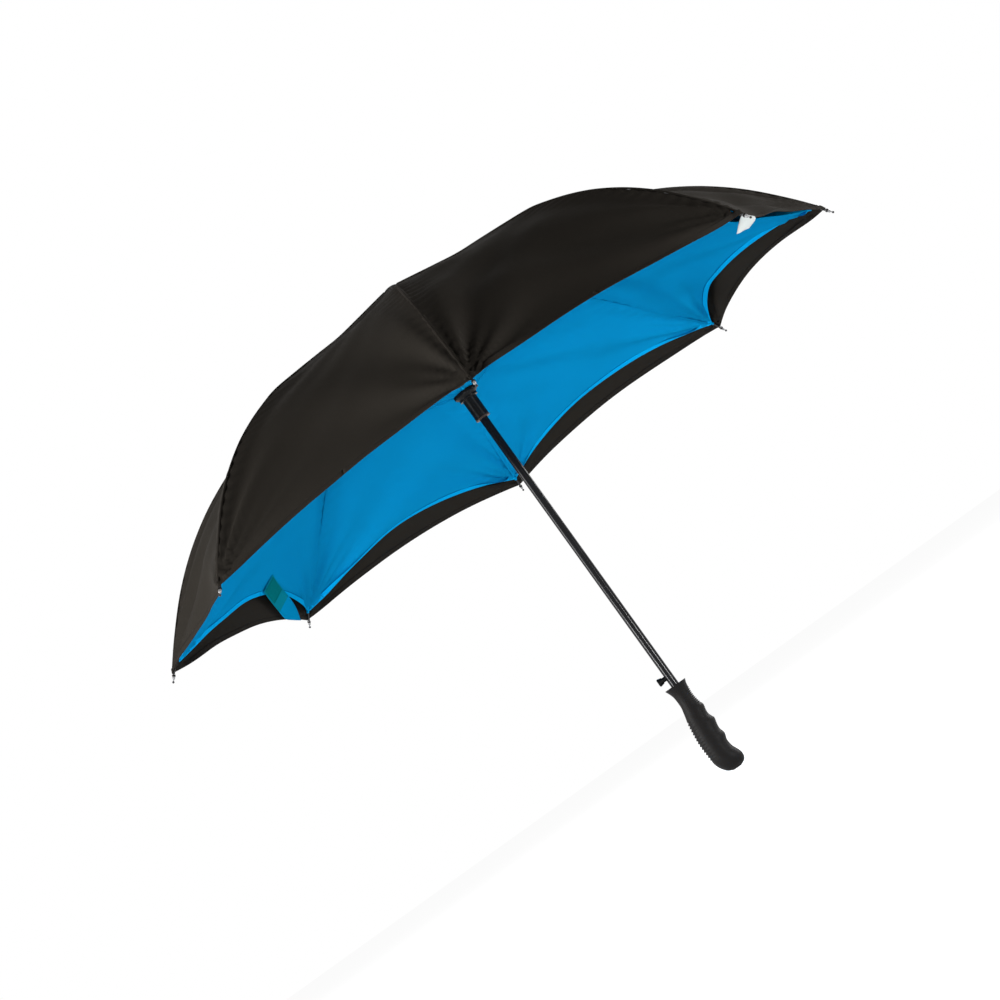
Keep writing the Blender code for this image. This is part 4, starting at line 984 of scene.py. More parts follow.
# Materials. A colour is a value or the setting that holds it, and the other one may be a share of it. The weave
# is threads per metre and slub, the wear is reach and breakup, and the bump is distance and strength.
RECIPES = {
    "outer cloth": woven("umbrella_canopy.outer_color", 1.25, 0.55, 1400.0, 0.00006, Specular_IOR_Level=0.0025),
    "inner cloth": woven("umbrella_canopy.inner_color", 1.10, 0.62, 1400.0, 0.00005),
    "inner hem": woven("umbrella_canopy.hem_color", 1.08, 0.60, 1400.0, 0.00005),
    "black thread": woven((0.012, 0.011, 0.010, 1), (0.02, 0.018, 0.016, 1), 0.5, 6000.0, 0.00003,
                          Sheen_Weight=0.03, Sheen_Roughness=0.42, Sheen_Tint=(1.0, 0.95, 0.9, 1)),
    "cyan thread": woven((0.001, 0.13, 0.32, 1), (0.001, 0.16, 0.38, 1), 0.5, 6000.0, 0.00003),
    "strap webbing": woven((0.001, 0.290, 0.600, 1), (0.001, 0.260, 0.520, 1), 0.6, 700.0, 0.00016),
    "loop pile": woven((0.001, 0.230, 0.330, 1), (0.001, 0.260, 0.350, 1), 0.8, 2400.0, 0.0003,
                       Sheen_Weight=0.03, Sheen_Roughness=0.42, Sheen_Tint=(0.3, 0.9, 0.9, 1)),
    "hook patch": {
        "color": (0.001, 0.160, 0.180, 1), "other": (0.002, 0.20, 0.22, 1), "roughness": 0.95,
        "grain": 2400.0, "bump": (0.0008, 1.0), "Specular_IOR_Level": 0.0,
    },
    "label satin": {
        "color": "umbrella_fittings.label_color", "other": 0.9, "roughness": 0.6,
        "weave": (2600.0, 0.2), "bump": (0.00003, 1.0), "Specular_IOR_Level": 0.02,
    },
    "shaft lacquer": {
        "color": "umbrella_fittings.lacquer_color", "other": (0.10, 0.10, 0.10, 1), "roughness": 0.16,
        "grain": 700.0, "wear": (0.56, 300.0), "spread": (0.13, 0.20), "bump": (0.000002, 1.0),
        "Specular_IOR_Level": 0.14, "Coat_Weight": 0.02, "Coat_Roughness": 0.06,
    },
    "gloss plastic": {
        "color": (0.006, 0.006, 0.006, 1), "other": (0.035, 0.032, 0.030, 1), "roughness": 0.22,
        "grain": 500.0, "wear": (0.55, 200.0), "spread": (0.17, 0.32), "bump": (0.00002, 1.0),
        "Specular_IOR_Level": 0.08, "Coat_Weight": 0.02, "Coat_Roughness": 0.12,
    },
    "grip rubber": {
        "color": "umbrella_fittings.rubber_color", "other": (0.045, 0.042, 0.038, 1), "roughness": 0.5,
        "grain": 1800.0, "wear": (0.55, 260.0), "spread": (0.44, 0.58), "bump": (0.00008, 1.0),
        "Specular_IOR_Level": 0.08,
    },
    "plated steel": {
        "color": "umbrella_fittings.steel_color", "other": 0.72, "roughness": 0.3, "metallic": 1.0,
        "grain": 1500.0, "spread": (0.24, 0.40), "bump": (0.00002, 1.0),
    },
    "dark steel": {
        "color": (0.045, 0.045, 0.047, 1), "other": (0.03, 0.03, 0.03, 1), "roughness": 0.35, "metallic": 1.0,
        "grain": 1500.0, "spread": (0.28, 0.45), "bump": (0.00002, 1.0),
    },
    "ring plastic": {
        "color": (0.050, 0.031, 0.024, 1), "other": (0.065, 0.045, 0.034, 1), "roughness": 0.42,
        "grain": 900.0, "bump": (0.00003, 1.0), "Specular_IOR_Level": 0.15,
    },
}
LOOKS = {}


def mixed(name, color, other, roughness, bump, grain=None, weave=None, wear=None, spread=None, metallic=0.0,
          **plain):
    """A material from its recipe: fine relief, and a second colour in its tone or on its worn edges."""
    if isinstance(color, str):
        group, setting = color.split(".")
        color = getattr(getattr(bpy.context.scene, group), setting)
    if isinstance(other, float):
        other = tuple(min(c * other, 1) for c in color[:3]) + (1,)
    finish = Finish(name, color, roughness, metallic, **plain)
    if weave:
        texture = finish.effect("weave", Threads_per_metre=weave[0], Slub=weave[1])
    else:
        texture = finish.effect("grain", Scale=grain)
    mask = texture.outputs["Tone"]
    if wear:
        mask = finish.effect("wear", Reach=wear[0], Breakup=wear[1]).outputs["Mask"]
    finish.blend_color(mask, other)
    if spread:
        finish.spread(texture.outputs["Tone"], *spread)
    finish.bump(texture.outputs["Height"], *bump)
    return finish.material


def look(name):
    """The material of that name, built once."""
    if name not in LOOKS:
        LOOKS[name] = mixed(name, **RECIPES[name])
    return LOOKS[name]


# Cloth


def column_shares():
    """Places across a half panel, from the seam (0) to the panel's middle (1), closer together at both."""
    bunched = (np.arange(COLUMNS) / (COLUMNS - 1)) ** COLUMN_BUNCHING
    return np.insert(bunched, -1, MIDDLE_STRIP)


def plain_grid(rows_along):
    """Places and faces of a half panel with rows at these shares of its length."""
    places = [(along, w) for along in rows_along for w in column_shares()]
    return np.array(places), grid_faces(len(rows_along) - 1, COLUMNS + 1)


def flat_places(canopy, places):
    """Where places of a half panel lie on its flat cut, in metres: across from the middle, and along."""
    across = 1 - places[:, 1]
    share = places[:, 0] * canopy.reach(across)
    chord = canopy.seam(share)[0] * math.sin(HALF_PANEL)
    return np.stack([across * chord, np.interp(share, canopy.shares, canopy.arc)], axis=1)


def places_of_flat(canopy, flat):
    """The places that lie at given points of the flat cut."""
    share = np.interp(flat[:, 1], canopy.arc, canopy.shares)
    across = flat[:, 0] / (canopy.seam(share)[0] * math.sin(HALF_PANEL))
    return np.stack([share / canopy.reach(across), 1 - across], axis=1)


def vent_holes():
    """Middles of the vent holes of a half panel on its flat cut: half of the middle ring, and one beside it."""
    found = []
    for ring in (0, 1):
        for i in range(VENT_HOLES):
            angle = 2 * math.pi * (i + 0.5) / VENT_HOLES
            x = ring * VENT_RING_SPACING + VENT_RING_RADIUS * math.cos(angle)
            if x > 0:
                found.append((x, VENT_RING_REACH + VENT_RING_RADIUS * math.sin(angle)))
    return found


def perforated_grid(canopy, rows, band):
    """A half panel's grid, with round vent holes cut out of a band of its rows."""
    places, faces = plain_grid(np.linspace(0.0, 1.0, rows + 1))
    wide = COLUMNS + 1
    low, high = band
    kept_faces = [f for f in faces if not low * wide <= f[0] < high * wide]
    flat = flat_places(canopy, places)
    holes = np.array(vent_holes())
    inside = range(low * wide, (high + 1) * wide)
    on_edge = {i for i in inside if i // wide in (low, high) or i % wide in (0, COLUMNS)}
    clear = VENT_HOLE_RADIUS + VENT_MARGIN
    used = [i for i in inside if i in on_edge or np.linalg.norm(holes - flat[i], axis=1).min() > clear]
    points = [Vector(flat[i]) for i in used]
    rim = (
        list(range(low * wide, low * wide + wide))
        + [row * wide + COLUMNS for row in range(low + 1, high)]
        + list(range(high * wide + COLUMNS, high * wide - 1, -1))
        + [row * wide for row in range(high - 1, low, -1)]
    )
    index_of = {i: n for n, i in enumerate(used)}
    loop = [index_of[i] for i in rim]
    edges = list(zip(loop, loop[1:] + loop[:1]))
    for x, y in holes:
        start = len(points)
        points.extend(Vector((x + dx, y + dy)) for dx, dy in circle(VENT_HOLE_RADIUS, VENT_HOLE_POINTS))
        edges.extend((start + i, start + (i + 1) % VENT_HOLE_POINTS) for i in range(VENT_HOLE_POINTS))
    made_points, _, made_faces, source, _, _ = delaunay_2d_cdt(points, edges, [], 1, VENT_MERGE_DISTANCE)
    number = {}
    extra = []
    for n, (point, from_points) in enumerate(zip(made_points, source)):
        first = min(from_points) if from_points else len(used)
        if first < len(used):
            number[n] = used[first]
        else:
            number[n] = len(places) + len(extra)
            extra.append(tuple(point))
    places = np.concatenate([places, places_of_flat(canopy, np.array(extra))])
    for face in made_faces:
        middle = np.mean([made_points[i] for i in face], axis=0)
        if np.linalg.norm(holes - middle, axis=1).min() > VENT_HOLE_RADIUS * VENT_CLEAR_SHARE:
            kept_faces.append(tuple(number[i] for i in face))
    return places, kept_faces


def side_panel(rib, side):
    """The panel on one side of a rib, and the sign of its seam in the panel's own places."""
    if side > 0:
        return rib, -1
    return (rib - 2) % RIB_COUNT + 1, 1


def side_name(side):
    return "left" if side > 0 else "right"


def half_panel(canopy, rib, side, grid, name):
    """One half panel of cloth beside a rib, as a thin sheet, with its flat size and its area."""
    places, faces = grid
    panel, seam_sign = side_panel(rib, side)
    used = sorted({i for face in faces for i in face})
    renumber = {i: n for n, i in enumerate(used)}
    kept = places[used]
    positions = canopy.points(panel, kept[:, 0], seam_sign * (1 - kept[:, 1]))
    flat = flat_places(canopy, kept)
    gathered = Gathered(positions, [tuple(renumber[i] for i in face) for face in faces])
    obj = made(f"{name}_{rib}_{side_name(side)}", gathered, [canopy.cloth], closed=False,
               flat_places=flat)
    face_up(obj)
    sharp_rim(obj)
    return obj, *thickened(obj, float(flat[:, 0].max()), float(np.ptp(flat[:, 1])))


def face_up(obj):
    """Turn the faces of a sheet so that they point out of the canopy."""
    if obj.data.polygons[0].normal.z < 0:
        obj.data.flip_normals()


def sharp_rim(obj):
    """Mark a sheet's open edges sharp, so that its shading runs straight on to the next sheet."""
    work = bmesh.new()
    work.from_mesh(obj.data)
    for edge in work.edges:
        edge.smooth = not edge.is_boundary
    work.to_mesh(obj.data)
    work.free()


def thicken(obj, thickness):
    modifier = obj.modifiers.new("Cloth", "SOLIDIFY")
    modifier.thickness = thickness
    modifier.offset = 0.0


def thickened(obj, width, length):
    """Give a sheet its thickness. Its flat size and its area come back, the area at most that of the size."""
    area = sum(polygon.area for polygon in obj.data.polygons)
    thicken(obj, FABRIC_THICKNESS)
    return (width, length), min(area, width * length)


def gather_on_rib(obj, canopy, rib):
    """Cloth beyond the pin, or the inner canopy: it rides on its rib."""
    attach(obj, f"rib_{rib}")
    canopy.corner(rib)
    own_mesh(obj)


def gather_welt(obj, canopy, rib):
    """A seam's welt: it rides on its rib and stays in the rib's plane."""
    lean, swing, keep = canopy.gather
    swing = math.radians(swing)
    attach(obj, f"rib_{rib}")
    canopy.corner(rib)
    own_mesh(obj)


def gather_on_strut(obj, rib):
    """Cloth between the crown and the pin: it rides on its strut."""
    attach(obj, f"strut_{rib}")
    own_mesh(obj)


def hem_outline(width):
    """Section of a folded hem: across from the edge inwards, and thickness."""
    half = HEM_THICKNESS / 2
    upper = [(HEM_EDGE * x, half * y) for x, y in HEM_EDGE_SHARES]
    upper += [(width * x, half * y) for x, y in HEM_WIDTH_SHARES]
    return [(-HEM_EDGE, 0), *upper, *((x, -y) for x, y in reversed(upper))]


def hem(canopy, rib, side):
    """The folded and stitched hem of a half panel."""
    panel, seam_sign = side_panel(rib, side)
    across = seam_sign * (1 - np.linspace(HEM_START_SHARE, 1, HEM_STEPS) ** HEM_BUNCHING)
    one = np.ones_like(across)
    edge = canopy.points(panel, one, across)
    inward = canopy.points(panel, one - HEM_LOOK_IN_SHARE, across) - edge
    ahead = unit(np.gradient(edge, axis=0))
    inward = unit(inward - ahead * np.sum(inward * ahead, axis=1)[:, None])
    up = np.cross(ahead, inward)
    up = up * np.sign(up[:, 2])[:, None]
    gathered = Gathered()
    # The sides at the hem's inner edge take the thread colour, as painted shade along the step where the folded
    # hem ends
    gathered.sweep(edge, inward, up, hem_outline(canopy.hem_width), marked=HEM_PAINTED_SHADE_SIDES)
    line = edge + inward * canopy.hem_width * HEM_STITCH_SHARE
    for face in canopy.hem_faces:
        gathered.stitches(line, up * face, HEM_THICKNESS / 2)
    name = f"{canopy.name}_hem_{rib}_{side_name(side)}"
    return made(name, gathered, [canopy.hem_cloth, canopy.thread])


def welt(canopy, rib, start, end, name):
    """The felled seam over a rib, with a row of stitches on either side of its fold."""
    r, z = canopy.seam(np.linspace(start, end, WELT_STEPS))
    ahead = unit(np.stack([np.gradient(r), np.gradient(z)], axis=1))
    zero = np.zeros_like(r)
    middles = np.stack([r, zero, z], axis=1)
    ups = np.stack([-ahead[:, 1], zero, ahead[:, 0]], axis=1) * canopy.face
    asides = np.tile(np.array((0.0, 1.0, 0.0)), (len(r), 1))
    half = WELT_WIDTH / 2
    fall = -canopy.face * half * math.tan(HALF_PANEL) * WELT_FALL_SHARE
    outline = [(x * half, down * fall + up * WELT_HEIGHT) for x, down, up in WELT_SHARES]
    gathered = Gathered()
    gathered.sweep(middles, asides, ups, outline)
    beside, lift = outline[WELT_STITCH_POINT]
    for side in (-1, 1):
        gathered.stitches(middles + asides * side * beside, ups, lift)
    obj = made(name, gathered, [canopy.cloth, canopy.thread])
    obj.data.transform(rib_turn(rib))
    return obj


def build_outer_canopy():
    on_struts = np.linspace(0.0, PIN_ROW_SHARE, OUTER_STRUT_ROWS + 1)
    on_ribs = np.linspace(PIN_ROW_SHARE, 1.0, OUTER_RIB_ROWS + 1)
    strut_grid = plain_grid(np.insert(on_struts, -1, PIN_ROW_SHARE - PIN_STRIP))
    rib_grid = plain_grid(np.insert(on_ribs, 1, PIN_ROW_SHARE + PIN_STRIP))
    for rib in range(1, RIB_COUNT + 1):
        for side in (1, -1):
            crown_part, size, area = half_panel(OUTER, rib, side, strut_grid, "outer_crown_cloth")
            gather_on_strut(crown_part, rib)
            rim_part, size, area = half_panel(OUTER, rib, side, rib_grid, "outer_rim_cloth")
            edge = hem(OUTER, rib, side)
            for piece in (rim_part, edge):
                gather_on_rib(piece, OUTER, rib)
            if side > 0:
                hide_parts(f"outer_gore_{rib}")
        top = welt(OUTER, rib, CROWN_WELT_START, PIN_ROW_SHARE, f"outer_crown_seam_{rib}")
        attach(top, f"strut_{rib}")
        rim = welt(OUTER, rib, PIN_ROW_SHARE, RIM_WELT_END, f"outer_rim_seam_{rib}")
        gather_welt(rim, OUTER, rib)


def build_inner_canopy():
    grid = perforated_grid(INNER, INNER_ROWS, VENT_ROWS)
    for rib in range(1, RIB_COUNT + 1):
        for side in (1, -1):
            part, size, area = half_panel(INNER, rib, side, grid, "inner_cloth")
            edge = hem(INNER, rib, side)
            for piece in (part, edge):
                gather_on_rib(piece, INNER, rib)
            if side > 0:
                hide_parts(f"inner_gore_{rib}")
        seam = welt(INNER, rib, *INNER_WELT_SPAN, f"inner_seam_{rib}")
        gather_welt(seam, INNER, rib)
        seam_backing(rib)
        rib_loop(rib)
    collar()


def seam_backing(rib):
    """The strip of cloth that backs an inner seam from the runner outwards."""
    share = np.linspace(*BACKING_SHARES, BACKING_ROWS)
    x = (share - share[0]) / (share[-1] - share[0])
    chord = INNER.seam(share)[0] * math.sin(HALF_PANEL)
    wanted = BACKING_HALF_WIDTHS[0] * (1 - x) + BACKING_HALF_WIDTHS[1] * x
    half = np.minimum(wanted, chord * BACKING_PANEL_SHARE)
    columns = np.linspace(-1, 1, BACKING_COLUMNS)
    lines = []
    for column in columns:
        panel, seam_sign = side_panel(rib, 1 if column > 0 else -1)
        across = seam_sign * (1 - half * abs(column) / chord)
        along = share / INNER.reach(across)
        normal = INNER.normals(panel, along, across)
        normal = normal * np.sign(normal[:, 2:3])
        lines.append(INNER.points(panel, along, across) + normal * BACKING_LIFT)
    faces = grid_faces(BACKING_COLUMNS - 1, BACKING_ROWS, flip=True)
    flat = np.stack([np.outer(columns, half).ravel(), np.tile(share * INNER.length, BACKING_COLUMNS)], axis=1)
    strip = made(f"inner_seam_backing_{rib}", Gathered(np.concatenate(lines), faces), [INNER.cloth],
                 closed=False, flat_places=flat)
    face_up(strip)
    size, area = thickened(strip, 2 * float(half.max()), float(np.ptp(flat[:, 1])))
    gather_welt(strip, INNER, rib)


def rib_loop(rib):
    """The cloth loop that holds the inner canopy's corner on the rib."""
    near, beyond = (OUTER.seam(INNER_CORNER_SHARE + step) for step in LOOP_SPAN)
    ahead = Vector((beyond[0] - near[0], 0, beyond[1] - near[1])).normalized()
    up = Vector((-ahead.z, 0, ahead.x))
    middle = Vector((near[0], 0, near[1])) - up * (RIB_DROP + LOOP_DROP)
    wide, tall = RIB_WIDTH / 2 + LOOP_CLEARANCE[0], RIB_HEIGHT / 2 + LOOP_CLEARANCE[1]
    points = []
    for wall, rings in ((0.0, LOOP_RINGS), (LOOP_WALL, LOOP_RINGS[::-1])):
        for share, grow in rings:
            centre = middle + ahead * (LOOP_LENGTH * (share - 0.5))
            for x, y in circle(1, LOOP_SIDES):
                aside = Vector((0, (wide * grow - wall) * x, 0))
                points.append(centre + aside + up * ((tall * grow - wall) * y))
    open_faces = grid_faces(2 * len(LOOP_RINGS), LOOP_SIDES, closed=True, flip=True)
    faces = [tuple(i % len(points) for i in face) for face in open_faces]
    obj = made(f"inner_corner_loop_{rib}", Gathered(points, faces), [INNER.hem_cloth])
    obj.data.transform(rib_turn(rib))
    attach(obj, f"rib_{rib}")


def collar():
    """The gathered collar that closes the inner canopy on the runner when it folds."""
    steps = COLLAR_PLEATS * COLLAR_STEPS_PER_PLEAT
    points = []
    for row in range(COLLAR_ROWS + 1):
        x = row / COLLAR_ROWS
        z = FLANGE_TOP_Z + GAP + COLLAR_HEIGHT * x
        for i in range(steps):
            angle = 2 * math.pi * i / steps
            radius = COLLAR_FOOT_RADIUS + (COLLAR_TOP_RADIUS - COLLAR_FOOT_RADIUS) * x
            radius += COLLAR_PLEAT_DEPTH * x * math.sin(COLLAR_PLEATS * angle)
            points.append((radius * math.cos(angle), radius * math.sin(angle), z))
    faces = grid_faces(COLLAR_ROWS, steps, closed=True, flip=True)
    flat = [(math.atan2(y, x) * COLLAR_TOP_RADIUS, z) for x, y, z in points]
    obj = made("inner_collar", Gathered(points, faces), [INNER.cloth], closed=False,
               flat_places=flat)
    slant = math.hypot(COLLAR_HEIGHT, COLLAR_TOP_RADIUS - COLLAR_FOOT_RADIUS)
    size, area = thickened(obj, 2 * math.pi * COLLAR_TOP_RADIUS, slant)
    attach(obj, "runner")


def strap_places():
    """The strap's line over its panel, with the directions across it and away from the cloth."""
    x = np.linspace(0, 1, STRAP_STEPS + 1)
    along = STRAP_OUTER_END_SHARES[0] * (1 - x) + STRAP_INNER_END_SHARES[0] * x
    across = STRAP_OUTER_END_SHARES[1] * (1 - x) + STRAP_INNER_END_SHARES[1] * x
    line = INNER.points(STRAP_PANEL, along / INNER.reach(across), across, creased=False)
    run = unit(line[-1] - line[0])
    edge = along[[0, -1]] / INNER.reach(STRAP_OUTER_END_SHARES[1])
    ends = INNER.points(STRAP_PANEL, edge, np.full(2, STRAP_OUTER_END_SHARES[1]), creased=False)
    down = unit(np.cross(ends[0] - ends[1], run))
    down = -down * np.sign(down[2])
    aside = np.cross(run, down)
    clear = FABRIC_THICKNESS / 2 + 2 * GAP + STRAP_THICKNESS / 2
    lift = clear + STRAP_BULGE * np.sin(math.pi * x) ** 2
    near, beyond = OUTER.points(STRAP_PANEL, np.ones(2), np.array(STRAP_HEM_SPAN), creased=False)
    along_hem = unit(beyond - near)
    along_hem = along_hem * np.sign(along_hem @ aside)
    turn = np.clip(1 - x / STRAP_TURN_SHARE, 0, 1)[:, None] ** 2
    asides = unit(aside * (1 - turn) + along_hem * turn)
    downs = unit(np.cross(asides, run))
    return line + downs * lift[:, None], asides, downs


def band_outline(width, thickness):
    return [(x * width / 2, y * thickness / 2) for x, y in BAND_SHARES]


def build_strap():
    line, aside, down = strap_places()
    gathered = Gathered()
    gathered.sweep(line, aside, down, band_outline(STRAP_WIDTH, STRAP_THICKNESS))
    for edge in (-1, 1):
        row = line + aside * edge * STRAP_WIDTH * STRAP_STITCH_SHARE
        gathered.stitches(row, down, STRAP_THICKNESS / 2)
    band = made("strap_band", gathered, ["strap webbing", "cyan thread", "loop pile"],
                flat_places=[(p[0], p[1]) for p in gathered.points])
    inner_end = Vector(line[-1])
    half_way = (Vector(line[len(line) // 2]) - inner_end).length
    for polygon in band.data.polygons:
        if polygon.material_index == 0 and (polygon.center - inner_end).length < half_way:
            polygon.material_index = 2
    marks = arc_lengths(line[::-1])
    wanted = np.linspace(PATCH_MARGIN, PATCH_MARGIN + PATCH_LENGTH, PATCH_STEPS)
    middles, asides, downs = (read_along(wanted, marks, given[::-1]) for given in (line, aside, down))
    over = STRAP_THICKNESS / 2 + PATCH_THICKNESS / 2
    patch = Gathered()
    patch.sweep(middles + downs * over, asides, downs,
                band_outline(STRAP_WIDTH - 2 * PATCH_MARGIN, PATCH_THICKNESS))
    fuzz = made("strap_hook_patch", patch, ["hook patch"])
    for piece in (band, fuzz):
        gather_on_rib(piece, INNER, STRAP_PANEL)
    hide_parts("closing_strap")
    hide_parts("strap_patch")


def build_label():
    """The bare satin label, sewn by its gathered end to the outer hem beside a rib's end."""
    near, beside = (Vector(p) for p in OUTER.points(1, np.ones(2), np.array(LABEL_HEM_SHARES)))
    ahead = OUTER.line[-1] - OUTER.line[-RIM_LOOK_BACK]
    under = Vector((ahead[1], 0, -ahead[0])).normalized() * (FABRIC_THICKNESS / 2 + 2 * GAP)
    start = (near + beside) / 2 + under
    ways = [(beside - near).normalized() * LABEL_GATHER_SHARE]
    ways += [Vector(way).normalized() for way in LABEL_WAYS]
    marks = [0.0]
    for above, below in zip(LABEL_MIDDLES, LABEL_MIDDLES[1:]):
        marks.append(marks[-1] + (Vector(below) - Vector(above)).length)
    drop = marks[-1]
    points, flat = [], []
    for row in range(LABEL_ROWS + 1):
        mark = drop * row / LABEL_ROWS
        middle = start + Vector(smooth_at(LABEL_MIDDLES, marks, mark))
        way = Vector(smooth_at(ways, marks, mark))
        before, after = (smooth_at(LABEL_MIDDLES, marks, mark + step * LABEL_LOOK_AHEAD) for step in (-1, 1))
        out = way.cross(Vector(after - before)).normalized()
        for column in range(LABEL_COLUMNS + 1):
            x = column / LABEL_COLUMNS - 0.5
            wave = math.sin(2 * math.pi * LABEL_CURL_TURNS * x + LABEL_CURL_PHASE)
            points.append(middle + way * (LABEL_WIDTH * x) + out * (LABEL_CURL * wave * row / LABEL_ROWS))
            flat.append((LABEL_WIDTH * x, mark))
    obj = made("label_tag", Gathered(points, grid_faces(LABEL_ROWS, LABEL_COLUMNS + 1)), ["label satin"],
               closed=False, flat_places=flat)
    obj.data.transform(rib_turn(LABEL_PANEL))
    thicken(obj, LABEL_THICKNESS)
    gather_on_rib(obj, OUTER, LABEL_PANEL)
    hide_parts("care_label")


# Hard parts


def build_shaft():
    """The lacquered tube, with the slot that the plunger's key runs in. The slot is its first column."""
    low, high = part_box("shaft_tube")
    slot_half = math.asin(SLOT_WIDTH / 2 / SHAFT_RADIUS)
    free = 2 * math.pi - 2 * slot_half
    angles = [math.pi / 2 - slot_half]
    angles += [math.pi / 2 + slot_half + free * i / SHAFT_STEPS for i in range(SHAFT_STEPS)]
    count = len(angles)
    plunger_low, plunger_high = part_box("spring_plunger")
    heights = [low.z, plunger_low.z - frame_travel() - SLOT_END_ROOM, plunger_high.z + SLOT_END_ROOM, high.z]
    points, faces = [], []
    for radius in (SHAFT_RADIUS, SHAFT_RADIUS - SHAFT_WALL):
        for z in heights:
            points.extend((radius * math.cos(a), radius * math.sin(a), z) for a in angles)

    def join(*spots):
        """Add the face between spots, each given as (side, row, column)."""
        faces.append(tuple((side * len(heights) + row) * count + column % count for side, row, column in spots))

    for row in range(len(heights) - 1):
        for i in range(count):
            if (row, i) != (1, 0):
                for side in (0, 1):
                    join((side, row, i), (side, row, i + 1), (side, row + 1, i + 1), (side, row + 1, i))
    for row, columns in ((0, range(count)), (3, range(count)), (1, (0,)), (2, (0,))):
        for i in columns:
            join((0, row, i), (0, row, i + 1), (1, row, i + 1), (1, row, i))
    for i in (0, 1):
        join((0, 1, i), (0, 2, i), (1, 2, i), (1, 1, i))
    tube = sharpened(made("shaft_lacquered", Gathered(points, faces), ["shaft lacquer"]))
    stand_for(tube, "root", "shaft_tube")


def frame_travel():
    """How far the runner slides when the frame folds."""
    arm = math.hypot(PIN.x - CROWN_PIVOT.x, PIN.z - CROWN_PIVOT.z)
    open_slope = math.asin((CROWN_PIVOT.z - RUNNER_PIVOT.z) / 2 / arm)
    fold = math.radians(next(j["range_deg"][1] for j in frame["joints"] if j["name"] == "canopy_fold"))
    return 2 * arm * math.sin(open_slope + fold) - (CROWN_PIVOT.z - RUNNER_PIVOT.z)


def build_top_cap():
    low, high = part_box("top_cap")
    base = CROWN_TOP_Z + FABRIC_THICKNESS + 2 * GAP
    foot = low.z + CAP_PEG_ROOM
    profile = rounded([
        (0, high.z), (CAP_FLAT_RADIUS, high.z), (high.x * CAP_SLOPE_SHARE, base + CAP_SLOPE_RISE),
        (high.x, base + CAP_EDGE_RISE), (high.x, base), (CAP_PEG_RADIUS, base), (CAP_PEG_RADIUS, foot),
        (0, foot),
    ], CAP_ROUND)
    obj = turned("top_cap_moulded", profile, ["gloss plastic"])
    stand_for(obj, "root", "top_cap")


def build_runner():
    """The runner: a notched head between the canopies, a stepped flange and a long sleeve."""
    low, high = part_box("runner")
    head_bottom = RUNNER_PIVOT.z - RUNNER_HEAD_DROP
    flange_bottom = FLANGE_TOP_Z - RUNNER_FLANGE_HEIGHT
    step = (flange_bottom + FLANGE_TOP_Z - RUNNER_FLANGE_RIM) / 2
    outer_side = [
        (BORE_RADIUS, high.z), (RUNNER_HEAD_RADIUS - RUNNER_HEAD_BEVEL, high.z),
        (RUNNER_HEAD_RADIUS, high.z - RUNNER_HEAD_BEVEL),
        (RUNNER_HEAD_RADIUS, head_bottom), (RUNNER_NECK_RADIUS, head_bottom), (RUNNER_NECK_RADIUS, FLANGE_TOP_Z),
        (RUNNER_FLANGE_RADIUS, FLANGE_TOP_Z), (RUNNER_FLANGE_RADIUS, FLANGE_TOP_Z - RUNNER_FLANGE_RIM),
        (RUNNER_STEP_RADIUS, step), (RUNNER_STEP_RADIUS, flange_bottom), (RUNNER_SLEEVE_RADIUS, flange_bottom),
        (RUNNER_SLEEVE_RADIUS, low.z), (BORE_RADIUS, low.z),
    ]
    obj = turned("runner_moulded", rounded(outer_side, EDGE_ROUND), ["gloss plastic"],
                 steps=4 * RUNNER_RIM_RIBS, closed=True)
    for vertex in obj.data.vertices:
        x, y, z = vertex.co
        radius = math.hypot(x, y)
        if z < head_bottom - EDGE_ROUND and radius > RUNNER_FLANGE_RADIUS - EDGE_ROUND / 2:
            dip = RUNNER_RIM_RIB_DEPTH * (0.5 - 0.5 * math.cos(RUNNER_RIM_RIBS * math.atan2(y, x)))
            vertex.co.x -= x / radius * dip
            vertex.co.y -= y / radius * dip
    cutters = bpy.data.meshes.new("notches")
    work = bmesh.new()
    for rib in range(1, RIB_COUNT + 1):
        size = Matrix.Diagonal((RUNNER_HEAD_RADIUS, NOTCH_WIDTH, NOTCH_HEIGHT, 1))
        place = Matrix.Translation((NOTCH_FLOOR_RADIUS + RUNNER_HEAD_RADIUS / 2, 0, RUNNER_PIVOT.z))
        bmesh.ops.create_cube(work, size=1, matrix=rib_turn(rib) @ place @ size)
    work.to_mesh(cutters)
    work.free()
    tool = bpy.data.objects.new("notches", cutters)
    bpy.context.scene.collection.objects.link(tool)
    cut = obj.modifiers.new("Notches", "BOOLEAN")
    cut.operation = "DIFFERENCE"
    cut.object = tool
    bpy.context.view_layer.update()
    evaluated = obj.evaluated_get(bpy.context.evaluated_depsgraph_get())
    cut_mesh = bpy.data.meshes.new_from_object(evaluated)
    obj.modifiers.clear()
    obj.data = cut_mesh
    bpy.data.objects.remove(tool)
    stand_for(sharpened(obj), "runner", "runner")
    ring_low, ring_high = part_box("runner_ring")
    ring = turned("runner_end_ring", rounded([
        (BORE_RADIUS, ring_high.z), (ring_high.x, ring_high.z), (ring_high.x, ring_low.z),
        (BORE_RADIUS, ring_low.z),
    ], EDGE_ROUND), ["ring plastic"], closed=True)
    stand_for(ring, "runner", "runner_ring")


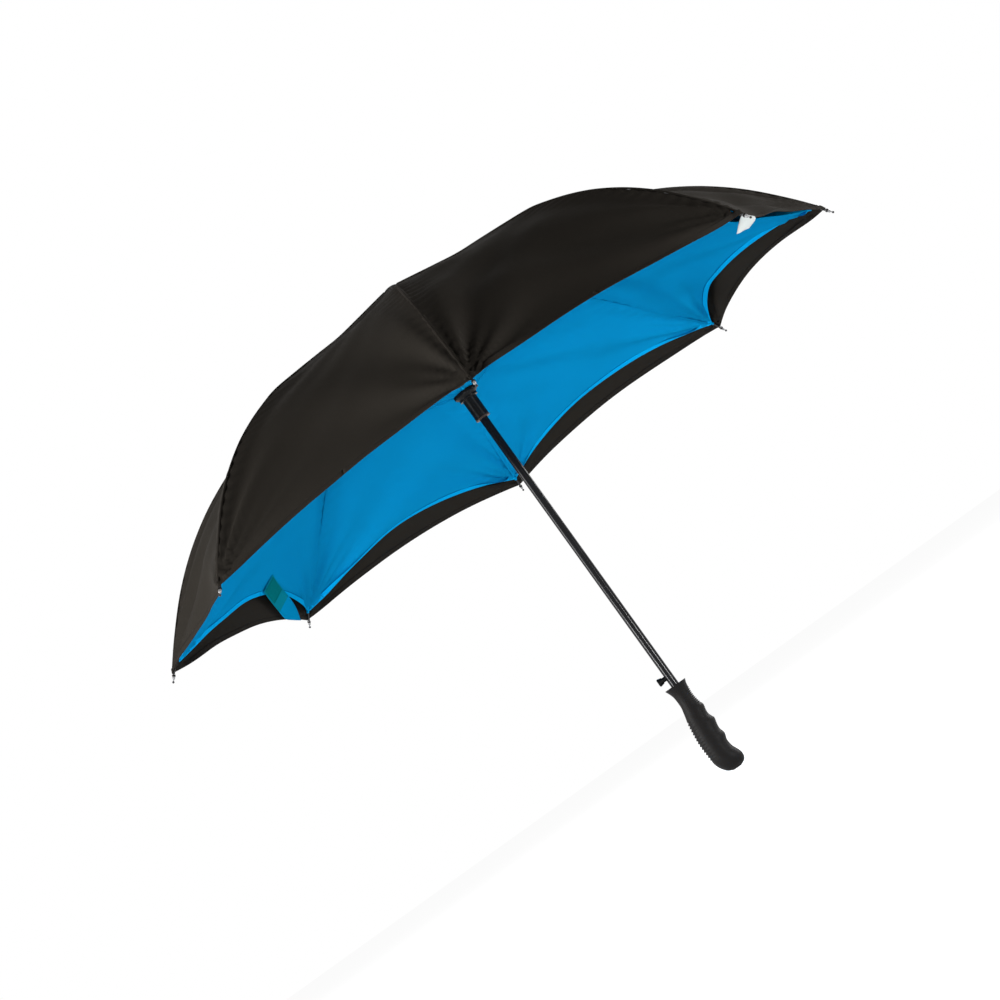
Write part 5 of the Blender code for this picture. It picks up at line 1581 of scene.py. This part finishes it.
def build_button():
    shoulder = BUTTON_REACH - BUTTON_KNOB_LENGTH
    profile = rounded([
        (0, BUTTON_REACH), (BUTTON_KNOB_RADIUS, BUTTON_REACH), (BUTTON_ROOT_RADIUS, shoulder),
        (BUTTON_STEM_RADIUS, shoulder), (BUTTON_STEM_RADIUS, BUTTON_STEM_END), (0, BUTTON_STEM_END),
    ], BUTTON_ROUND, BUTTON_ROUND_STEPS)
    obj = turned("release_button_moulded", profile, ["gloss plastic"],
                 along_axis((-1, 0, 0), (0, 0, BUTTON_Z)))
    stand_for(obj, "release_button", "release_button")


def build_tips():
    """The eight ball-ended rib tips, each with the thread that ties the cloth's corner to it."""
    r, z = OUTER.seam(np.array([TIP_LINE_SHARE, 1.0]))
    ahead = Vector((r[1] - r[0], 0, z[1] - z[0])).normalized()
    up = Vector((-ahead.z, 0, ahead.x))
    corner = Vector((r[1], 0, z[1])) - up * RIB_DROP
    neck = TIP_SOCKET_DEPTH + TIP_NECK_RISE
    ball = TIP_LENGTH - TIP_BALL_RADIUS
    bore = TIP_SLEEVE_RADIUS - TIP_SLEEVE_WALL
    profile = [(0, TIP_LENGTH)]
    for i in range(1, TIP_BALL_STEPS + 1):
        angle = (math.pi - TIP_BALL_OPENING) * i / TIP_BALL_STEPS
        profile.append((TIP_BALL_RADIUS * math.sin(angle), ball + TIP_BALL_RADIUS * math.cos(angle)))
    profile += rounded([
        (TIP_NECK_RADIUS, neck + TIP_SHOULDER), (TIP_SLEEVE_RADIUS, neck),
        (TIP_SLEEVE_RADIUS, TIP_SLEEVE_START), (bore, TIP_SLEEVE_START),
    ], TIP_ROUND)
    profile += [(bore, TIP_SOCKET_DEPTH + GAP), (0, TIP_SOCKET_DEPTH + GAP)]
    thread = coil(TIP_SLEEVE_RADIUS + THREAD_RADIUS, THREAD_RADIUS, THREAD_TURNS, THREAD_STEPS_PER_TURN,
                  THREAD_START, THREAD_CLIMB)
    for rib in range(1, RIB_COUNT + 1):
        matrix = rib_turn(rib) @ along_axis(ahead, corner)
        obj = turned(f"rib_tip_plated_{rib}", profile, ["plated steel", "dark steel"], matrix, TIP_SIDES)
        centre = matrix @ Vector((0, 0, ball))
        for polygon in obj.data.polygons:
            if (polygon.center - centre).length < TIP_BALL_RADIUS * TIP_BALL_REACH_SHARE:
                polygon.material_index = 1
        stand_for(obj, f"rib_{rib}", f"rib_tip_{rib}")
        tie = made(f"corner_tie_{rib}", thread, ["black thread"])
        tie.data.transform(matrix)
        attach(tie, f"rib_{rib}")


def build_spring():
    """The opening spring: a coil between the crown pin and the plunger, inside the shaft."""
    low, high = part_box("opening_spring")
    height = high.z - low.z
    wound = coil(SPRING_COIL_RADIUS, SPRING_WIRE_RADIUS, int(height / SPRING_PITCH), SPRING_STEPS_PER_TURN,
                 low.z + SPRING_WIRE_RADIUS, height - 2 * SPRING_WIRE_RADIUS)
    stand_for(made("opening_spring_coil", wound, ["plated steel"]), "root", "opening_spring")


def saw(x):
    """One saw tooth: a slow rise and a quick fall."""
    return np.where(x < GRIP_TOOTH_RISE_SHARE, x / GRIP_TOOTH_RISE_SHARE, (1 - x) / (1 - GRIP_TOOTH_RISE_SHARE))


def ribs_passed(depth, span, count):
    """How many of a band's ribs are passed at each depth, and which depths lie in the band."""
    passed = (depth - span[0]) / (span[1] - span[0]) * count
    return passed, (passed > 0) & (passed < count)


def build_grip():
    """The rubber grip: finger grooves and fine ribs in front, saw teeth behind, a flared mouth on top."""
    depth = np.linspace(0, 1, GRIP_RINGS + 1)
    back = table_at(GRIP_BACK_SHARES, depth) * GRIP_HALF_WIDTH
    front = table_at(GRIP_FINGER_SHARES, depth) * GRIP_HALF_WIDTH
    side = table_at(GRIP_SIDE_SHARES, depth) * GRIP_HALF_DEPTH
    passed, toothed = ribs_passed(depth, GRIP_TEETH_SHARES, GRIP_TOOTH_COUNT)
    teeth = np.where(toothed, saw(passed % 1), 0.5)
    passed, ribbed = ribs_passed(depth, GRIP_FINE_RIB_SHARES, GRIP_FINE_RIB_COUNT)
    fine_ribs = np.where(ribbed, np.sin(passed * 2 * math.pi), 0)
    points = []
    for i, share in enumerate(depth):
        centre, half = (front[i] - back[i]) / 2, (front[i] + back[i]) / 2
        for x, y in circle(1, GRIP_SIDES):
            tooth = GRIP_TOOTH_DEPTH * (teeth[i] - 0.5) * max(-x, 0) ** 3
            fine_rib = GRIP_FINE_RIB_DEPTH * fine_ribs[i] * max(x, 0) ** 4
            points.append((centre + half * x - tooth + fine_rib, side[i] * y, GRIP_LENGTH * (0.5 - share)))
    faces = grid_faces(GRIP_RINGS, GRIP_SIDES, closed=True)
    edge = points[:GRIP_SIDES]
    mouth = ((GRIP_MOUTH_SHARE, 0), (0, 0), (0, -GRIP_MOUTH_DEPTH), (0, GRIP_END_WALL - GRIP_LENGTH))
    for blend, rise in mouth:
        for (x, y), (edge_x, edge_y, _) in zip(circle(GRIP_BORE_RADIUS, GRIP_SIDES), edge):
            points.append((x + (edge_x - x) * blend, y + (edge_y - y) * blend, GRIP_LENGTH / 2 + rise))
    starts = [0] + [(GRIP_RINGS + 1 + ring) * GRIP_SIDES for ring in range(len(mouth))]
    for here, after in zip(starts, starts[1:]):
        for j in range(GRIP_SIDES):
            k = (j + 1) % GRIP_SIDES
            faces.append((here + j, here + k, after + k, after + j))
    for start in (starts[-1], GRIP_RINGS * GRIP_SIDES):
        faces.append(tuple(range(start, start + GRIP_SIDES)))
    skin = made("grip_rubber_skin", Gathered(points, faces), ["grip rubber"])
    stand_for(sharpened(skin, GRIP_SHARP_DEGREES), "root", "grip")


NODE_LOOKS = {
    "plated steel": ["crown_pin", "crown_wire", "runner_wire", "runner_stop", "catch_spring", "spring_plunger"],
    "gloss plastic": ["crown", "canopy_clamp_ring", "shaft_plug", "grip_core"],
    "dark steel": [f"{kind}_{rib}" for rib in range(1, RIB_COUNT + 1) for kind in ("rib", "strut")],
}


def dress_nodes():
    """Materials of the frame's own pieces that no piece here stands for."""
    for name, nodes in NODE_LOOKS.items():
        for node in nodes:
            materials = frame["nodes"][node].data.materials
            materials.clear()
            materials.append(look(name))


# Stage


def lit_background():
    """A white room: seen as white by the camera, in gloss and through glass, and lighting at its own level."""
    world = bpy.data.worlds.new("studio")
    bpy.context.scene.world = world
    world.use_nodes = True
    tree = world.node_tree
    background = tree.nodes["Background"]
    background.inputs["Color"].default_value = (1, 1, 1, 1)
    path = tree.nodes.new("ShaderNodeLightPath")
    seen = math_node(tree, "MAXIMUM", path.outputs["Is Camera Ray"], path.outputs["Is Glossy Ray"])
    seen = math_node(tree, "MAXIMUM", seen, path.outputs["Is Transmission Ray"])
    ambient = bpy.context.scene.umbrella_stage.ambient
    level = math_node(tree, "ADD", ambient, math_node(tree, "MULTIPLY", seen, 1 - ambient))
    tree.links.new(level, background.inputs["Strength"])


def floor_material():
    material = bpy.data.materials.new("floor")
    material.use_nodes = True
    tree = material.node_tree
    shader = tree.nodes["Principled BSDF"]
    shader.inputs["Base Color"].default_value = bpy.context.scene.umbrella_stage.floor_color
    shader.inputs["Roughness"].default_value = 0.9
    shader.inputs["Specular IOR Level"].default_value = 0.0
    path = tree.nodes.new("ShaderNodeLightPath")
    seen = math_node(tree, "MAXIMUM", path.outputs["Is Camera Ray"], path.outputs["Is Glossy Ray"])
    shader.inputs["Emission Color"].default_value = (1, 1, 1, 1)
    tree.links.new(math_node(tree, "MULTIPLY", seen, FLOOR_GLOW), shader.inputs["Emission Strength"])
    geometry = tree.nodes.new("ShaderNodeNewGeometry")
    clear = tree.nodes.new("ShaderNodeBsdfTransparent")
    below = tree.nodes.new("ShaderNodeMixShader")
    tree.links.new(geometry.outputs["Backfacing"], below.inputs[0])
    tree.links.new(shader.outputs[0], below.inputs[1])
    tree.links.new(clear.outputs[0], below.inputs[2])
    tree.links.new(below.outputs[0], tree.nodes["Material Output"].inputs["Surface"])
    return material


def area_lamp(name, place, size, power, seen):
    """A round lamp that shines at the middle of the rim, and that the camera may see or not."""
    data = bpy.data.lights.new(name, "AREA")
    data.shape = "DISK"
    data.size = size
    data.energy = power
    lamp = bpy.data.objects.new(name, data)
    bpy.context.scene.collection.objects.link(lamp)
    lamp.location = place
    lamp.rotation_euler = (Vector((0, 0, RIM_Z)) - Vector(place)).to_track_quat("-Z", "Y").to_euler()
    lamp.visible_camera = seen


def build_stage():
    settings = bpy.context.scene.umbrella_stage
    mesh = bpy.data.meshes.new("floor")
    work = bmesh.new()
    bmesh.ops.create_grid(work, x_segments=1, y_segments=1, size=FLOOR_HALF_SIZE)
    work.to_mesh(mesh)
    work.free()
    floor = bpy.data.objects.new("floor", mesh)
    floor.location.z = cad_box[0].z - FLOOR_DROP
    bpy.context.scene.collection.objects.link(floor)
    mesh.materials.append(floor_material())
    lit_background()
    for name, setting, times, place, size, seen in LAMPS:
        area_lamp(name, place, size, getattr(settings, setting) * times, seen)
    bpy.context.scene.view_settings.view_transform = "Standard"


def build_camera():
    data = bpy.data.cameras.new("photo camera")
    data.sensor_width = CAMERA_SENSOR_WIDTH
    data.lens = CAMERA_LENS
    camera = bpy.data.objects.new("photo camera", data)
    bpy.context.scene.collection.objects.link(camera)
    right, down, forward = Vector(CAMERA_RIGHT), Vector(CAMERA_DOWN), Vector(CAMERA_FORWARD)
    turn = Matrix((right, -down, -forward)).transposed().to_4x4()
    camera.matrix_world = Matrix.Translation(CAMERA_PLACE) @ turn
    bpy.context.scene.camera = camera


# Operators and panel


class UMBRELLA_OT_outer_canopy(bpy.types.Operator):
    """Make the black outer canopy with its seams and hems"""

    bl_idname = "umbrella.outer_canopy"
    bl_label = "Outer Canopy"

    def execute(self, context):
        build_outer_canopy()
        return {"FINISHED"}


class UMBRELLA_OT_inner_canopy(bpy.types.Operator):
    """Make the cyan inner canopy with its vent rings, seams, hems and collar"""

    bl_idname = "umbrella.inner_canopy"
    bl_label = "Inner Canopy"

    def execute(self, context):
        build_inner_canopy()
        return {"FINISHED"}


class UMBRELLA_OT_closing_strap(bpy.types.Operator):
    """Make the closing strap with its hook patch"""

    bl_idname = "umbrella.closing_strap"
    bl_label = "Closing Strap"

    def execute(self, context):
        build_strap()
        return {"FINISHED"}


class UMBRELLA_OT_label(bpy.types.Operator):
    """Make the bare sewn-in label"""

    bl_idname = "umbrella.label"
    bl_label = "Label"

    def execute(self, context):
        build_label()
        return {"FINISHED"}


class UMBRELLA_OT_shaft(bpy.types.Operator):
    """Make the slotted shaft, its top cap and the opening spring inside"""

    bl_idname = "umbrella.shaft"
    bl_label = "Shaft"

    def execute(self, context):
        build_shaft()
        build_top_cap()
        build_spring()
        return {"FINISHED"}


class UMBRELLA_OT_runner(bpy.types.Operator):
    """Make the runner and its end ring"""

    bl_idname = "umbrella.runner"
    bl_label = "Runner"

    def execute(self, context):
        build_runner()
        return {"FINISHED"}


class UMBRELLA_OT_grip(bpy.types.Operator):
    """Make the rubber grip and the release button"""

    bl_idname = "umbrella.grip"
    bl_label = "Grip"

    def execute(self, context):
        build_grip()
        build_button()
        return {"FINISHED"}


class UMBRELLA_OT_rib_tips(bpy.types.Operator):
    """Make the ball-ended rib tips and their thread ties"""

    bl_idname = "umbrella.rib_tips"
    bl_label = "Rib Tips"

    def execute(self, context):
        build_tips()
        return {"FINISHED"}


class UMBRELLA_OT_frame_finish(bpy.types.Operator):
    """Give the frame's own pieces their materials"""

    bl_idname = "umbrella.frame_finish"
    bl_label = "Frame Finish"

    def execute(self, context):
        dress_nodes()
        return {"FINISHED"}


class UMBRELLA_OT_stage(bpy.types.Operator):
    """Set up the floor, the lamps, the white room and the camera"""

    bl_idname = "umbrella.stage"
    bl_label = "Stage"

    def execute(self, context):
        build_stage()
        build_camera()
        return {"FINISHED"}


OPERATORS = (
    UMBRELLA_OT_outer_canopy, UMBRELLA_OT_inner_canopy, UMBRELLA_OT_closing_strap, UMBRELLA_OT_label,
    UMBRELLA_OT_shaft, UMBRELLA_OT_runner, UMBRELLA_OT_grip, UMBRELLA_OT_rib_tips, UMBRELLA_OT_frame_finish,
    UMBRELLA_OT_stage,
)


class UMBRELLA_PT_pieces(bpy.types.Panel):
    """Lists the umbrella's pieces and their settings"""

    bl_label = "Inverted Umbrella"
    bl_idname = "UMBRELLA_PT_pieces"
    bl_space_type = "VIEW_3D"
    bl_region_type = "UI"
    bl_category = "Umbrella"

    def draw(self, context):
        column = self.layout.column()
        for settings in (context.scene.umbrella_canopy, context.scene.umbrella_fittings,
                         context.scene.umbrella_stage):
            for name in settings.__annotations__:
                column.prop(settings, name)
        for operator in OPERATORS:
            column.operator(operator.bl_idname)


CLASSES = (CanopySettings, FittingSettings, StageSettings, *OPERATORS, UMBRELLA_PT_pieces)


def register():
    for cls in CLASSES:
        bpy.utils.register_class(cls)
    bpy.types.Scene.umbrella_canopy = bpy.props.PointerProperty(type=CanopySettings)
    bpy.types.Scene.umbrella_fittings = bpy.props.PointerProperty(type=FittingSettings)
    bpy.types.Scene.umbrella_stage = bpy.props.PointerProperty(type=StageSettings)


def unregister():
    del bpy.types.Scene.umbrella_stage
    del bpy.types.Scene.umbrella_fittings
    del bpy.types.Scene.umbrella_canopy
    for cls in reversed(CLASSES):
        bpy.utils.unregister_class(cls)


def main():
    register()
    for operator in OPERATORS:
        category, name = operator.bl_idname.split(".")
        getattr(getattr(bpy.ops, category), name)()


if __name__ == "__main__":
    main()
